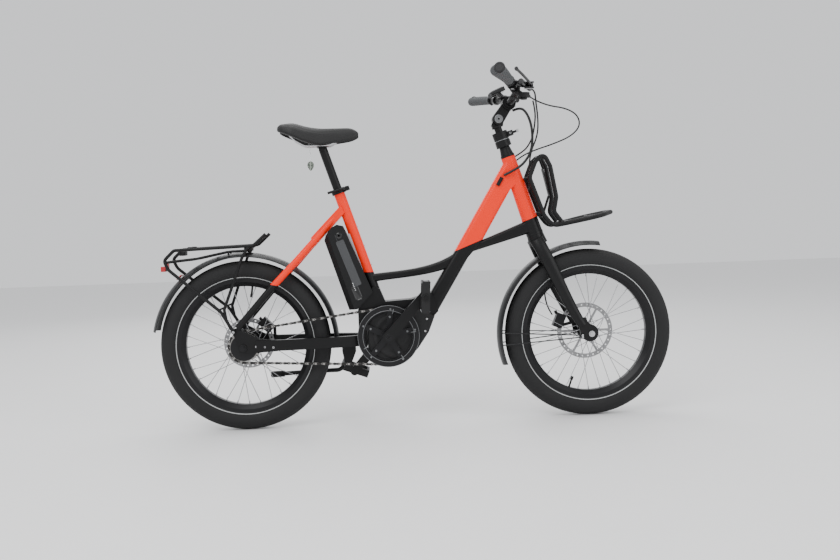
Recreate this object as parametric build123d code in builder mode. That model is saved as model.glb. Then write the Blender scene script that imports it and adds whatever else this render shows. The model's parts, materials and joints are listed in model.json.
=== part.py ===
"""Compact electric city bicycle with 20 inch wheels, a low step-through frame,
a front carrier fixed to the head tube and a rear carrier over the mudguard.

Millimetres. +X forward, +Y to the rider's left, +Z up. The origin is on the
ground, in the wheels' plane, halfway along the overall length.
"""
from build123d import *
from math import asin, atan2, cos, degrees, hypot, pi, radians, sin, tan
import os

os.makedirs("parts", exist_ok=True)

# ---- driving dimensions -------------------------------------------------------------
wheelbase = 1080.0
tyre_radius = 265.0
tyre_width = 61.0
rim_seat_radius = 204.7
rim_inner_radius = 186.0
rim_width = 40.0
rear_guard_radius = 291.0
rear_guard_end = 169.0          # angle above +X at which the rear mudguard ends
steer_angle = 72.1              # from horizontal
head_tube_length = 250.0
head_bottom = (917.0, 588.0)    # lower end of the head tube on the steering axis, x from rear axle
seat_angle = 72.0
seat_top = (307.9, 728.0)       # upper end of the seat tube on its axis
seat_tube_radius = 17.0
seat_post_radius = 13.6
bottom_bracket = (445.0, 282.0)
crank_length = 170.0
crank_rise = 48.1               # right crank arm above horizontal, forwards
chain_pitch = 12.7
chainring_teeth = 44
cog_teeth = 24
chain_line = -48.0
rear_spacing = 135.0            # between the rear dropouts
front_spacing = 100.0           # between the fork ends
bar_half_width = 325.0
running_clearance = 0.05        # radial, at every pin and shaft that turns
gap = 0.3                       # between curved faces that only pass each other

# ---- places worked out from them ----------------------------------------------------
tail_reach = -rear_guard_radius * cos(radians(rear_guard_end))
rear_axle_x = -(wheelbase + tyre_radius - tail_reach) / 2
axle_height = tyre_radius


def at(x, y, z):
    """A point given forward of the rear axle, left of the centre plane, above ground."""
    return Vector(rear_axle_x + x, y, z)


steer_up = Vector(-cos(radians(steer_angle)), 0, sin(radians(steer_angle)))
steer_front = Vector(sin(radians(steer_angle)), 0, cos(radians(steer_angle)))
steer_foot = at(head_bottom[0], 0, head_bottom[1])
seat_up = Vector(-cos(radians(seat_angle)), 0, sin(radians(seat_angle)))
seat_head = at(seat_top[0], 0, seat_top[1])
rear_axle_point = at(0, 0, axle_height)
front_axle_point = at(wheelbase, 0, axle_height)
crank_point = at(bottom_bracket[0], 0, bottom_bracket[1])
across = Vector(0, 1, 0)
chainring_radius = chain_pitch / 2 / sin(pi / chainring_teeth)
cog_radius = chain_pitch / 2 / sin(pi / cog_teeth)


def steering(height, forward=0.0, left=0.0):
    """A point on or beside the steering axis, height above the head tube's lower end."""
    return steer_foot + steer_up * height + steer_front * forward + across * left


def side_plane(y):
    """Vertical plane at y, local x forward from the rear axle, local y up."""
    return Plane(origin=(rear_axle_x, y, 0), x_dir=(1, 0, 0), z_dir=(0, -1, 0))


def rod(start, end, radius):
    """Adds a round bar between two points."""
    axis = Vector(end) - Vector(start)
    with Locations(Plane(origin=start, z_dir=axis)):
        Cylinder(radius, axis.length, align=(Align.CENTER, Align.CENTER, Align.MIN))


def bore(start, end, radius):
    """Cuts a round hole between two points."""
    axis = Vector(end) - Vector(start)
    with Locations(Plane(origin=start, z_dir=axis)):
        Cylinder(radius, axis.length, align=(Align.CENTER, Align.CENTER, Align.MIN),
                 mode=Mode.SUBTRACT)


def taper(start, end, start_radius, end_radius):
    """Adds a round bar that narrows from start to end."""
    axis = Vector(end) - Vector(start)
    with Locations(Plane(origin=start, z_dir=axis)):
        Cone(start_radius, end_radius, axis.length,
             align=(Align.CENTER, Align.CENTER, Align.MIN))


def bent_rod(points, radius, bends):
    """Adds a round bar along straight runs joined by arcs."""
    with BuildLine() as path:
        FilletPolyline(*points, radius=bends)
    with BuildSketch(Plane(origin=path.line @ 0, z_dir=path.line % 0)) as section:
        Circle(radius)
    sweep(section.sketch, path=path.line)


def slab(outline, y_low, y_high, mode=Mode.ADD):
    """Adds a plate of the given side outline between two planes across the bicycle."""
    with BuildSketch(side_plane(y_high)) as face:
        with BuildLine():
            Polyline(*outline, close=True)
        make_face()
    extrude(face.sketch, amount=y_high - y_low, mode=mode)


def wheel_plane(axle, angle):
    """Plane through an axle, local x along it, local y outwards at angle above +X."""
    turn = radians(angle)
    return Plane(origin=axle, x_dir=(0, 1, 0), z_dir=(sin(turn), 0, -cos(turn)))


def cable_bends(points):
    """The largest arcs that the runs of a cable's route allow."""
    bends = []
    for before, corner, after in zip(points, points[1:], points[2:]):
        runs = [Vector(corner) - Vector(before), Vector(after) - Vector(corner)]
        turn = radians(runs[0].get_angle(runs[1]))
        bends.append(0.45 * min(r.length for r in runs) / tan(turn / 2))
    return bends


def long_rims(piece, shortest):
    """The edges round a plate's two side faces, without the short ones."""
    rims = piece.edges().filter_by(Axis.Y, reverse=True)
    return rims.filter_by(lambda rim: rim.length > shortest)


def save(piece, name):
    """Labels a finished piece and writes it."""
    piece.part.label = name
    export_step(piece.part, f"parts/{name}.step")


def save_together(pieces, name):
    """Writes pieces that lie one inside another as one file."""
    both = Compound(children=[piece.part for piece in pieces])
    both.label = name
    export_step(both, f"parts/{name}.step")


# ---- frame: head tube, down tube, brace, cross tube and seat tube ---------------------
head_tube_top_radius = 22.0
head_tube_foot_radius = 26.0
head_bore_radius = 18.5
down_tube_half_width = 22.0
brace_half_width = 18.0
cross_tube_half_width = 15.0
cradle_half_width = 30.0
down_tube_outline = [(834, 822), (662, 535), (580, 406), (568, 386), (590, 352), (604, 352),
                     (707, 521), (751, 569), (845, 727), (872, 752)]
brace_outline = [(905, 629), (715, 555), (706, 530), (912, 588)]
cradle_outline = [(353, 366), (394, 424), (402, 436), (423, 428), (439, 388), (520, 392),
                  (560, 402), (584, 412), (604, 352), (592, 340), (530, 366), (440, 362),
                  (398, 345), (379, 318), (379, 250), (353, 250)]

with BuildPart() as down_tube:
    slab(down_tube_outline, -down_tube_half_width, down_tube_half_width)
    fillet(long_rims(down_tube, 70), 13)

with BuildPart() as brace:
    slab(brace_outline, -brace_half_width, brace_half_width)
    fillet(long_rims(brace, 50), 9)

with BuildPart() as cross_tube:
    with BuildSketch(side_plane(cross_tube_half_width)):
        with BuildLine():
            upper = Spline((396, 474), (499, 483), (565, 493), (676, 540))
            lower = Spline((646, 486), (571, 468), (498, 459), (400, 449))
            Line(upper @ 1, lower @ 0)
            Line(lower @ 1, upper @ 0)
        make_face()
    extrude(amount=2 * cross_tube_half_width)
    fillet(long_rims(cross_tube, 100), 8)

seat_tube_length = 330.0
seat_bore_depth = 300.0
with BuildPart() as front_frame:
    taper(steering(0), steering(head_tube_length), head_tube_foot_radius, head_tube_top_radius)
    add(down_tube.part)
    add(brace.part)
    add(cross_tube.part)
    rod(seat_head - seat_up * seat_tube_length, seat_head, seat_tube_radius)
    slab(cradle_outline, -cradle_half_width, cradle_half_width)
    bore(steering(-1), steering(head_tube_length + 1), head_bore_radius)
    bore(seat_head - seat_up * seat_bore_depth, seat_head + seat_up,
         seat_post_radius + running_clearance)
save(front_frame, "front_frame")

# ---- rear triangle: wishbone, seat stays, chain stays and dropouts ---------------------
dropout_inner = rear_spacing / 2
dropout_thickness = 7.0
stay_radius = 10.5
axle_hole_radius = 6.05
stay_foot_y = dropout_inner + dropout_thickness / 2
wishbone_outline = [(312, 692), (262, 642), (215, 594), (225, 566), (262, 606), (322, 668)]
dropout_outline = [(-32, 322), (-16, 268), (-12, 251), (14, 248), (104, 252), (106, 284),
                   (50, 292), (0, 318), (-12, 330)]
chainstay_top = 286.0
chainstay_plan = [(40, 78), (150, 74), (290, 59), (340, 45), (353, 41),
                  (353, 23), (336, 27), (285, 41), (150, 57), (75, 64), (40, 68)]

with BuildPart() as rear_triangle:
    slab(wishbone_outline, -22, 22)
    for hand in (-1, 1):
        bent_rod([at(290, hand * 12, 652), at(222, hand * 27, 580), at(165, hand * 51, 519),
                  at(95, hand * 61, 448), at(-14, hand * stay_foot_y, 326)], stay_radius,
                 [60, 60, 60])
        low = min(hand * dropout_inner, hand * (dropout_inner + dropout_thickness))
        slab(dropout_outline, low, low + dropout_thickness)
        with BuildSketch(Plane.XY.offset(253)):
            with BuildLine():
                Polyline(*[(rear_axle_x + x, hand * y) for x, y in chainstay_plan], close=True)
            make_face()
        extrude(amount=33)
        bore(at(0, hand * 60, axle_height), at(0, hand * 90, axle_height), axle_hole_radius)
    bore(seat_head - seat_up * 200, seat_head, seat_tube_radius)
save(rear_triangle, "rear_triangle")

# ---- motor and battery ------------------------------------------------------------------
motor_right = -40.0
motor_left = 52.0
motor_outline = [(380, 318), (398.6, 343.8), (440, 361), (530, 365), (592, 339), (572, 289),
                 (538, 240), (505, 205), (460, 190), (415, 196), (385, 222), (380, 250)]
spindle_radius = 10.0
with BuildPart() as motor_housing:
    slab(motor_outline, motor_right, motor_left)
    fillet(long_rims(motor_housing, 1), 6)
    rod(crank_point + across * (motor_right - 3), crank_point + across * (motor_left + 6), 26)
    bore(crank_point - across * 60, crank_point + across * 70,
         spindle_radius + running_clearance)
save(motor_housing, "motor_housing")

battery_half_width = 41.0
battery_outline = [(257, 584), (262, 600), (278, 621), (296, 632), (314, 628), (325, 605),
                   (401, 419), (352, 368.5), (326, 366)]
rail_half_width = 12.0
rail_outline = [(320, 598), (345, 606), (402, 430), (379, 422)]
with BuildPart() as battery_pack:
    slab(battery_outline, -battery_half_width, battery_half_width)
    rear_rims = long_rims(battery_pack, 200).sort_by(Axis.X)[:2]
    chamfer(rear_rims, 16)
    bore(seat_head - seat_up * (seat_tube_length + 20), seat_head, seat_tube_radius + 1)
    slab([(x - 0.8, z) for x, z in rail_outline], -rail_half_width - gap, rail_half_width + gap,
         Mode.SUBTRACT)
    slab(cradle_outline, -cradle_half_width - gap, cradle_half_width + gap, Mode.SUBTRACT)
    slab([(394, 424), (402, 436), (440, 428), (440, 360)], -cradle_half_width - gap,
         cradle_half_width + gap, Mode.SUBTRACT)
save(battery_pack, "battery_pack")

with BuildPart() as battery_rail:
    slab(rail_outline, -rail_half_width, rail_half_width)
    bore(seat_head - seat_up * (seat_tube_length + 20), seat_head, seat_tube_radius)
    slab([(372, 421.5), (374, 436), (423, 428), (423, 360), (372, 360)], -20, 20,
         Mode.SUBTRACT)
save(battery_rail, "battery_rail")

# ---- seat clamp ----------------------------------------------------------------------------
collar_wall = 5.0
collar_height = 16.0
clamp_ear = (seat_head + seat_up * (collar_height / 2)
             + Vector(sin(radians(seat_angle)), 0, cos(radians(seat_angle))) * 27)
with BuildPart() as seat_collar:
    rod(seat_head, seat_head + seat_up * collar_height, seat_tube_radius + collar_wall)
    with Locations(Plane(origin=clamp_ear, x_dir=(0, 1, 0), z_dir=seat_up)):
        Box(22, 18, collar_height - 3)
        Box(3, 30, collar_height + 2, mode=Mode.SUBTRACT)
    bore(seat_head - seat_up, seat_head + seat_up * (collar_height + 1),
         seat_post_radius + running_clearance)
    bore(clamp_ear - across * 20, clamp_ear + across * 20, 3.0 + running_clearance)
save(seat_collar, "seat_collar")

lever_reach = 58.0
with BuildPart() as seat_clamp_lever:
    rod(clamp_ear - across * 18, clamp_ear + across * 16, 3.0)
    rod(clamp_ear + across * 11.3, clamp_ear + across * 18, 6.5)
    rod(clamp_ear - across * 19, clamp_ear - across * 11.3, 7.0)
    lever_tip = clamp_ear + Vector(-lever_reach, -29, -14)
    lever_bend = clamp_ear + Vector(-18, -28.5, -3)
    bent_rod([clamp_ear - across * 15, lever_bend, lever_tip], 4.0, [14])
save(seat_clamp_lever, "seat_clamp_lever")

# ---- headset --------------------------------------------------------------------------------
steerer_radius = 14.3
lifter_radius = 12.0
lifter_foot = 150.0              # lower end of the lifter tube, above the head tube's
cup_height = 7.0
with BuildPart() as headset_cups:
    rod(steering(-cup_height), steering(0), head_tube_foot_radius + 1)
    rod(steering(head_tube_length), steering(head_tube_length + cup_height),
        head_tube_top_radius)
    bore(steering(-20), steering(head_tube_length + 20), steerer_radius + running_clearance)
save(headset_cups, "headset_cups")

# ---- fork ---------------------------------------------------------------------------------
fork_end_inner = front_spacing / 2
fork_end_thickness = 8.0
crown_top = -cup_height - gap
leg_sections = [((918, 24, 566), 22, 17), ((938, 42, 524), 21, 12),
                ((990, 50, 411), 18.5, 10.5), ((1052, 56.5, 292), 14, 8.0)]
fork_end_outline = [(1036, 312), (1046, 262), (1064, 250), (1092, 250), (1097, 270),
                    (1070, 300), (1062, 318)]
with BuildPart() as fork:
    rod(steering(-30), steering(head_tube_length + 66), steerer_radius)
    bore(steering(lifter_foot - 10), steering(head_tube_length + 67),
         lifter_radius + running_clearance)
    taper(steering(-40), steering(crown_top), 30, head_tube_foot_radius)
    for hand in (-1, 1):
        rings = []
        for (x, y, z), fore, wide in leg_sections:
            run = Vector(1052 - 938, 0, 292 - 524)
            with BuildSketch(Plane(origin=at(x, hand * y, z), x_dir=(0, 1, 0), z_dir=run)) as ring:
                Ellipse(wide, fore)
            rings.append(ring.sketch)
        loft(rings)
        low = min(hand * fork_end_inner, hand * (fork_end_inner + fork_end_thickness))
        slab(fork_end_outline, low, low + fork_end_thickness)
        bore(at(wheelbase, hand * 40, axle_height), at(wheelbase, hand * 70, axle_height),
             axle_hole_radius)
save(fork, "fork")

# ---- cone spacer, lifter collar and its lever ---------------------------------------------
cone_foot = head_tube_length + cup_height
cone_height = 27.0
collar_foot = cone_foot + cone_height
lifter_collar_height = 48.0
lifter_collar_radius = 24.0
steerer_bore = steerer_radius + running_clearance
with BuildPart() as steerer_cone:
    taper(steering(cone_foot), steering(cone_foot + cone_height), 20.5, 15.8)
    bore(steering(cone_foot - 1), steering(collar_foot + 1), steerer_bore)
save(steerer_cone, "steerer_cone")

lever_pin = steering(collar_foot + 34, 30)
lever_pin_radius = 3.0
steerer_top = head_tube_length + 66
with BuildPart() as lifter_collar:
    rod(steering(collar_foot), steering(collar_foot + 20), lifter_collar_radius)
    rod(steering(collar_foot + 20), steering(collar_foot + 24), lifter_collar_radius - 4)
    rod(steering(collar_foot + 24), steering(collar_foot + lifter_collar_height),
        lifter_collar_radius)
    with Locations(Plane(origin=lever_pin, x_dir=steer_front, z_dir=steer_up)):
        Box(18, 26, 16)
        Box(19, 12, 17, mode=Mode.SUBTRACT)
    bore(steering(collar_foot - 1), steering(steerer_top + gap), steerer_bore)
    bore(steering(steerer_top), steering(collar_foot + lifter_collar_height + 1),
         lifter_radius + running_clearance)
    bore(lever_pin - across * 20, lever_pin + across * 20, lever_pin_radius + running_clearance)
save(lifter_collar, "lifter_collar")

with BuildPart() as lifter_lever:
    rod(lever_pin - across * 14, lever_pin + across * 14, lever_pin_radius)
    rod(lever_pin - across * 5.7, lever_pin + across * 5.7, 7)
    with Locations(Plane(origin=lever_pin + steer_front * 15, x_dir=steer_front,
                         z_dir=steer_up)):
        Box(24, 11, 7)
save(lifter_lever, "lifter_lever")

# ---- lifter tube, turning stem base and tilting stem arm ------------------------------------
tube_top = collar_foot + lifter_collar_height + 14
tenon_radius = 7.0
stem_pivot = at(812.3, 0, 944)
bar_clamp = at(845.2, 0, 991.2)
pivot_radius = 5.0
with BuildPart() as lifter_tube:
    rod(steering(lifter_foot), steering(tube_top), lifter_radius)
    rod(steering(tube_top), steering(tube_top + 12), tenon_radius)
    bore(steering(lifter_foot - 1), steering(tube_top - 8), lifter_radius - 2.5)
save(lifter_tube, "lifter_tube")

base_foot = tube_top + gap
with BuildPart() as stem_base:
    rod(steering(base_foot), steering(base_foot + 6), 17.5)
    with BuildSketch(side_plane(9)) as web:
        with BuildLine():
            Polyline((795.5, 914), (826, 924), (829, 938), (826, 946), (797, 946), (790, 926),
                     close=True)
        make_face()
        with Locations((812.3, 944)):
            Circle(17)
    extrude(web.sketch, amount=18)
    bore(steering(base_foot - 1), steering(base_foot + 12), tenon_radius + running_clearance)
    bore(stem_pivot - across * 20, stem_pivot + across * 20, pivot_radius + running_clearance)
save(stem_base, "stem_base")

cheek_inner = 9.5
cheek_outer = 17.0
bar_seat_radius = 15.9
with BuildPart() as stem_arm:
    for hand in (-1, 1):
        low = min(hand * cheek_inner, hand * cheek_outer)
        with BuildSketch(side_plane(low + cheek_outer - cheek_inner)) as cheek:
            with Locations((812.3, 944)):
                Circle(18.5)
            with Locations((838, 981)):
                Circle(16)
            make_hull()
        extrude(cheek.sketch, amount=cheek_outer - cheek_inner)
    arm = (bar_clamp - stem_pivot).normalized()
    rod(stem_pivot + arm * 22, stem_pivot + arm * 40, 14)
    rod(bar_clamp - across * 24, bar_clamp + across * 24, 21)
    rod(stem_pivot - across * cheek_outer, stem_pivot + across * cheek_outer, pivot_radius)
    bore(bar_clamp - across * 25, bar_clamp + across * 25, bar_seat_radius)
save(stem_arm, "stem_arm")

# ---- handlebar, grips and controls ------------------------------------------------------------
bar_radius = 11.1
grip_start = 190.0
grip_inner = Vector(824, grip_start, 1030.2)
grip_end = Vector(774.4, bar_half_width, 1048.5)


def bar_at(y, forward=0.0, up=0.0):
    """A point by the outer, straight stretch of the handlebar at a distance y across."""
    share = (abs(y) - grip_inner.Y) / (grip_end.Y - grip_inner.Y)
    spot = grip_inner + (grip_end - grip_inner) * share
    return at(spot.X + forward, y, spot.Z + up)


with BuildPart() as handlebar:
    rod(bar_clamp - across * 30, bar_clamp + across * 30, bar_seat_radius)
    for hand in (-1, 1):
        bent_rod([bar_clamp, at(847, hand * 48, 993), bar_at(hand * 92),
                  bar_at(hand * (bar_half_width - 4))], bar_radius, [26, 30])
save(handlebar, "handlebar")

grip_radius = 15.0
with BuildPart() as grips:
    for hand in (-1, 1):
        inner = bar_at(hand * 200)
        outer = bar_at(hand * bar_half_width)
        run = (outer - inner).normalized()
        rod(inner, outer, grip_radius)
        rod(inner, inner + run * 8, grip_radius + 2)
        rod(outer - run * 8, outer, grip_radius + 2)
        bent_rod([bar_at(hand * 222, -3, -3), bar_at(hand * 272, -16, -5),
                  bar_at(hand * 312, -19, -5)], 10.5, [50])
        bore(inner - run, outer - run * 4, bar_radius)
save(grips, "grips")

lever_pivot_y = 148.0
lever_pivot_forward = 40.0
lever_pivot_radius = 2.5
lever_reach_out = 44.0           # blade end in front of the bar's middle line
with BuildPart() as brake_bodies:
    for hand in (-1, 1):
        clamp_at = bar_at(hand * 168)
        run = (bar_at(hand * 178) - clamp_at).normalized()
        rod(clamp_at - run * 6, clamp_at + run * 6, 16)
        rod(clamp_at + Vector(10, 0, 2), bar_at(hand * 150, 30, 2), 9)
        rod(bar_at(hand * 174, 28, 4), bar_at(hand * 118, 44, 0), 9.5)
        pivot = bar_at(hand * lever_pivot_y, lever_pivot_forward + 14, 0)
        with Locations(Plane(origin=pivot - Vector(6, 0, 0), z_dir=(0, 0, 1))):
            Box(26, 18, 20)
            Box(27, 40, 11.4, mode=Mode.SUBTRACT)
        bore(pivot - Vector(0, 0, 20), pivot + Vector(0, 0, 20),
             lever_pivot_radius + running_clearance)
        bore(bar_at(hand * 120), bar_at(hand * 250), bar_radius)
save(brake_bodies, "brake_bodies")

for hand, name in ((-1, "right_brake_lever"), (1, "left_brake_lever")):
    with BuildPart() as brake_lever:
        pivot = bar_at(hand * lever_pivot_y, lever_pivot_forward + 14, 0)
        rod(pivot - Vector(0, 0, 9.7), pivot + Vector(0, 0, 9.7), lever_pivot_radius)
        rod(pivot - Vector(0, 0, 4.2), pivot + Vector(0, 0, 4.2), 6)
        bent_rod([pivot, bar_at(hand * 190, 54, 0), bar_at(hand * 250, 50, 0),
                  bar_at(hand * 306, lever_reach_out, 0)], 4.0, [30, 50])
        rod(bar_at(hand * 304, lever_reach_out, 0), bar_at(hand * 310, lever_reach_out, 0), 5.5)
    save(brake_lever, name)

# display by the left grip, with its rocker; gear shifter by the right grip, with its lever
display_centre = bar_at(118, -24, 25)
display_face = Vector(-0.39, 0, 0.92)
display_plane = Plane(origin=display_centre, x_dir=(0, 1, 0), z_dir=display_face)
rocker_place = (22, 0, 4.2)
rocker_width = 12.4
rocker_pin_radius = 1.2
rocker_pin_half = 7.5
rocker_axis = display_plane.x_dir
rocker_centre = display_plane.from_local_coords(rocker_place)
with BuildPart() as display_unit:
    with Locations(display_plane):
        Box(66, 48, 14)
    fillet(long_rims(display_unit, 40), 4)
    rod(bar_at(111), bar_at(125), 15)
    rod(bar_at(118, -2, 6), display_centre + Vector(4, 0, -3), 8)
    bore(bar_at(95), bar_at(170), bar_radius)
    with Locations(display_plane * Pos(22, 0, 5)):
        Box(rocker_width + 2 * gap, 31, 8.1, mode=Mode.SUBTRACT)
    bore(rocker_centre - rocker_axis * (rocker_pin_half + gap),
         rocker_centre + rocker_axis * (rocker_pin_half + gap),
         rocker_pin_radius + running_clearance)
save(display_unit, "display_unit")

with BuildPart() as assist_rocker:
    with Locations(display_plane * Pos(22, 0, 5.2)):
        Box(rocker_width, 28, 4)
    rod(rocker_centre - rocker_axis * rocker_pin_half,
        rocker_centre + rocker_axis * rocker_pin_half, rocker_pin_radius)
save(assist_rocker, "assist_rocker")

shifter_centre = bar_at(-124, 26, -22)
shifter_pin_radius = 3.0
shifter_half = 7.0
with BuildPart() as gear_shifter:
    rod(bar_at(-118), bar_at(-130), 15.5)
    rod(bar_at(-124, 0, -6), shifter_centre + Vector(-6, 0, 2), 8)
    rod(shifter_centre - Vector(0, 0, shifter_half), shifter_centre + Vector(0, 0, shifter_half),
        18)
    rod(shifter_centre + Vector(8, 6, 0), shifter_centre + Vector(20, 24, 0), 5.5)
    bore(bar_at(-90), bar_at(-160), bar_radius)
    bore(shifter_centre - Vector(0, 0, 20), shifter_centre,
         shifter_pin_radius + running_clearance)
save(gear_shifter, "gear_shifter")

with BuildPart() as shift_lever:
    lever_level = shifter_centre - Vector(0, 0, shifter_half + 3.3)
    rod(shifter_centre - Vector(0, 0, shifter_half + 6), shifter_centre - Vector(0, 0, 1),
        shifter_pin_radius)
    rod(lever_level - Vector(0, 0, 2.7), lever_level + Vector(0, 0, 2.7), 10)
    rod(lever_level, lever_level + Vector(-40, -22, 0), 2.6)
    rod(lever_level + Vector(-36, -20, 0), lever_level + Vector(-44, -24, 0), 5.5)
save(shift_lever, "shift_lever")

# ---- wheels ---------------------------------------------------------------------------------
tyre_wall = 3.2
spoke_radius = 1.0
spoke_count = 32
rim_outer_radius = rim_seat_radius + 4.5
tyre_foot = rim_seat_radius + gap
tyre_equator = tyre_radius - tyre_width / 2
rim_flange = 2.2
bead_outer = rim_width / 2 - rim_flange - gap
bead_top = rim_outer_radius + gap


def tyre(axle):
    """Adds an open casing standing on the rim, round the given axle."""
    inside = tyre_width / 2 - tyre_wall
    with BuildSketch(wheel_plane(axle, 0)) as section:
        with BuildLine():
            Line((bead_outer, tyre_foot), (bead_outer, bead_top))
            ThreePointArc((bead_outer, bead_top), (tyre_width / 2, tyre_equator),
                          (0, tyre_radius))
            ThreePointArc((0, tyre_radius), (-tyre_width / 2, tyre_equator),
                          (-bead_outer, bead_top))
            Polyline((-bead_outer, bead_top), (-bead_outer, tyre_foot),
                     (-bead_outer + tyre_wall, tyre_foot), (-bead_outer + tyre_wall, bead_top))
            ThreePointArc((-bead_outer + tyre_wall, bead_top), (-inside, tyre_equator),
                          (0, tyre_radius - tyre_wall - 2))
            ThreePointArc((0, tyre_radius - tyre_wall - 2), (inside, tyre_equator),
                          (bead_outer - tyre_wall, bead_top))
            Polyline((bead_outer - tyre_wall, bead_top), (bead_outer - tyre_wall, tyre_foot),
                     (bead_outer, tyre_foot))
        make_face()
    revolve(section.sketch, axis=Axis(axle, across))


def inner_tube(axle):
    """Adds an air tube inside the casing."""
    section_radius = 22.0
    centre = tyre_foot + section_radius + 1.0
    with Locations(Plane(origin=axle, z_dir=across)):
        Torus(centre, section_radius)
        Torus(centre, section_radius - 1.2, mode=Mode.SUBTRACT)


def valve(axle, angle):
    """Adds the air tube's valve, through the rim."""
    up = wheel_plane(axle, angle).y_dir
    rod(axle + up * (rim_inner_radius - 32), axle + up * (tyre_foot + 0.8), 3.0)
    rod(axle + up * (rim_inner_radius - 36), axle + up * (rim_inner_radius - 26), 4.0)


def rim(axle, valve_angle):
    """Adds a double-walled rim with a valve hole."""
    half = rim_width / 2
    with BuildSketch(wheel_plane(axle, 0)) as section:
        with BuildLine():
            Polyline((-half, rim_outer_radius), (-half + rim_flange, rim_outer_radius),
                     (-half + rim_flange, rim_seat_radius), (half - rim_flange, rim_seat_radius),
                     (half - rim_flange, rim_outer_radius), (half, rim_outer_radius),
                     (half, rim_seat_radius - 5), (9, rim_inner_radius),
                     (-9, rim_inner_radius), (-half, rim_seat_radius - 5), close=True)
        make_face()
        with BuildLine():
            Polyline((-half + 4, rim_seat_radius - 2.5), (half - 4, rim_seat_radius - 2.5),
                     (half - 4, rim_seat_radius - 5), (8, rim_inner_radius + 2.5),
                     (-8, rim_inner_radius + 2.5), (-half + 4, rim_seat_radius - 5),
                     close=True)
        make_face(mode=Mode.SUBTRACT)
    revolve(section.sketch, axis=Axis(axle, across))
    up = wheel_plane(axle, valve_angle).y_dir
    bore(axle + up * (rim_inner_radius - 5), axle + up * (rim_outer_radius + 5),
         3.0 + running_clearance)


def spokes(axle, flange_radius, flange_right, flange_left, lean):
    """Adds crossed spokes from both flanges to the rim."""
    for number in range(spoke_count):
        y = flange_right if number % 2 else flange_left
        way = 1 if (number // 2) % 2 else -1
        rim_angle = 360 * number / spoke_count
        hub_angle = rim_angle + way * lean
        foot = wheel_plane(axle, hub_angle).y_dir * (flange_radius + 0.9)
        head = wheel_plane(axle, rim_angle).y_dir * (rim_inner_radius - 0.5)
        side = 3.0 if y > 0 else -3.0
        rod(axle + foot + across * (y + 2 * way), axle + head + across * (side + way),
            spoke_radius)


def rotor(axle, y, radius):
    """Adds a brake disc with a pierced ring on five arms."""
    disc = Plane(origin=axle + across * y, x_dir=(1, 0, 0), z_dir=(0, -1, 0))
    with BuildSketch(disc) as plate:
        Circle(radius)
        with PolarLocations(radius - 7, 30):
            Circle(2.6, mode=Mode.SUBTRACT)
        Circle(radius - 14, mode=Mode.SUBTRACT)
        with PolarLocations((radius + 8) / 2, 6):
            Rectangle(radius - 22, 7)
        Circle(26)
        Circle(17.5, mode=Mode.SUBTRACT)
    extrude(plate.sketch, amount=1.8)


front_valve = 160.0
rear_valve = -60.0
for wheel, axle, valve_angle in (("front", front_axle_point, front_valve),
                                 ("rear", rear_axle_point, rear_valve)):
    with BuildPart() as casing:
        tyre(axle)
    with BuildPart() as air_tube:
        inner_tube(axle)
    with BuildPart() as air_valve:
        valve(axle, valve_angle)
    save_together((casing, air_tube, air_valve), f"{wheel}_tyre")
    with BuildPart() as wheel_rim:
        rim(axle, valve_angle)
    save(wheel_rim, f"{wheel}_rim")

hub_bearing = 6.0 + running_clearance
front_flange = 27.0
front_flange_right = -33.0
front_flange_left = 26.0
front_rotor_y = 38.5
with BuildPart() as front_hub:
    rod(front_axle_point - across * 46, front_axle_point + across * 46, 15)
    rod(front_axle_point + across * (front_flange_right - 3.2),
        front_axle_point + across * (front_flange_right + 3.2), front_flange)
    rod(front_axle_point + across * (front_flange_left - 3.2),
        front_axle_point + across * (front_flange_left + 3.2), front_flange)
    rod(front_axle_point + across * (front_flange_left + 6),
        front_axle_point + across * (front_rotor_y - 1.8), 22)
    rod(front_axle_point + across * (front_rotor_y - 5),
        front_axle_point + across * (front_rotor_y + 2), 17.4)
    bore(front_axle_point - across * 50, front_axle_point + across * 50, hub_bearing)
save(front_hub, "front_hub")

with BuildPart() as front_spokes:
    spokes(front_axle_point, front_flange, front_flange_right, front_flange_left, 42)
save(front_spokes, "front_spokes")

with BuildPart() as front_rotor:
    rotor(front_axle_point, front_rotor_y, 90)
save(front_rotor, "front_rotor")

rear_flange = 46.0
rear_flange_right = -30.0
rear_flange_left = 34.0
rear_rotor_y = 56.0
with BuildPart() as rear_hub:
    rod(rear_axle_point - across * 36, rear_axle_point + across * 38, 40)
    rod(rear_axle_point + across * (rear_flange_right - 3.2),
        rear_axle_point + across * (rear_flange_right + 3.2), rear_flange)
    rod(rear_axle_point + across * (rear_flange_left - 3.2),
        rear_axle_point + across * (rear_flange_left + 3.2), rear_flange)
    rod(rear_axle_point + across * 38, rear_axle_point + across * (rear_rotor_y - 1.8), 24)
    rod(rear_axle_point + across * 50, rear_axle_point + across * 62, 17.4)
    bore(rear_axle_point - across * 50, rear_axle_point + across * 70, hub_bearing)
save(rear_hub, "rear_hub")

with BuildPart() as rear_spokes:
    spokes(rear_axle_point, rear_flange, rear_flange_right, rear_flange_left, 30)
save(rear_spokes, "rear_spokes")

with BuildPart() as rear_rotor:
    rotor(rear_axle_point, rear_rotor_y, 80)
save(rear_rotor, "rear_rotor")

axle_radius = 6.0
axle_end = 9.0
with BuildPart() as front_axle:
    half = fork_end_inner + fork_end_thickness
    rod(front_axle_point - across * (half + axle_end), front_axle_point + across * (half + axle_end),
        axle_radius)
    for hand in (-1, 1):
        rod(front_axle_point + across * hand * half, front_axle_point + across * hand * (half + 4),
            9.5)
        rod(front_axle_point + across * hand * 46.4,
            front_axle_point + across * hand * fork_end_inner, 11)
save(front_axle, "front_axle")

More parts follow.
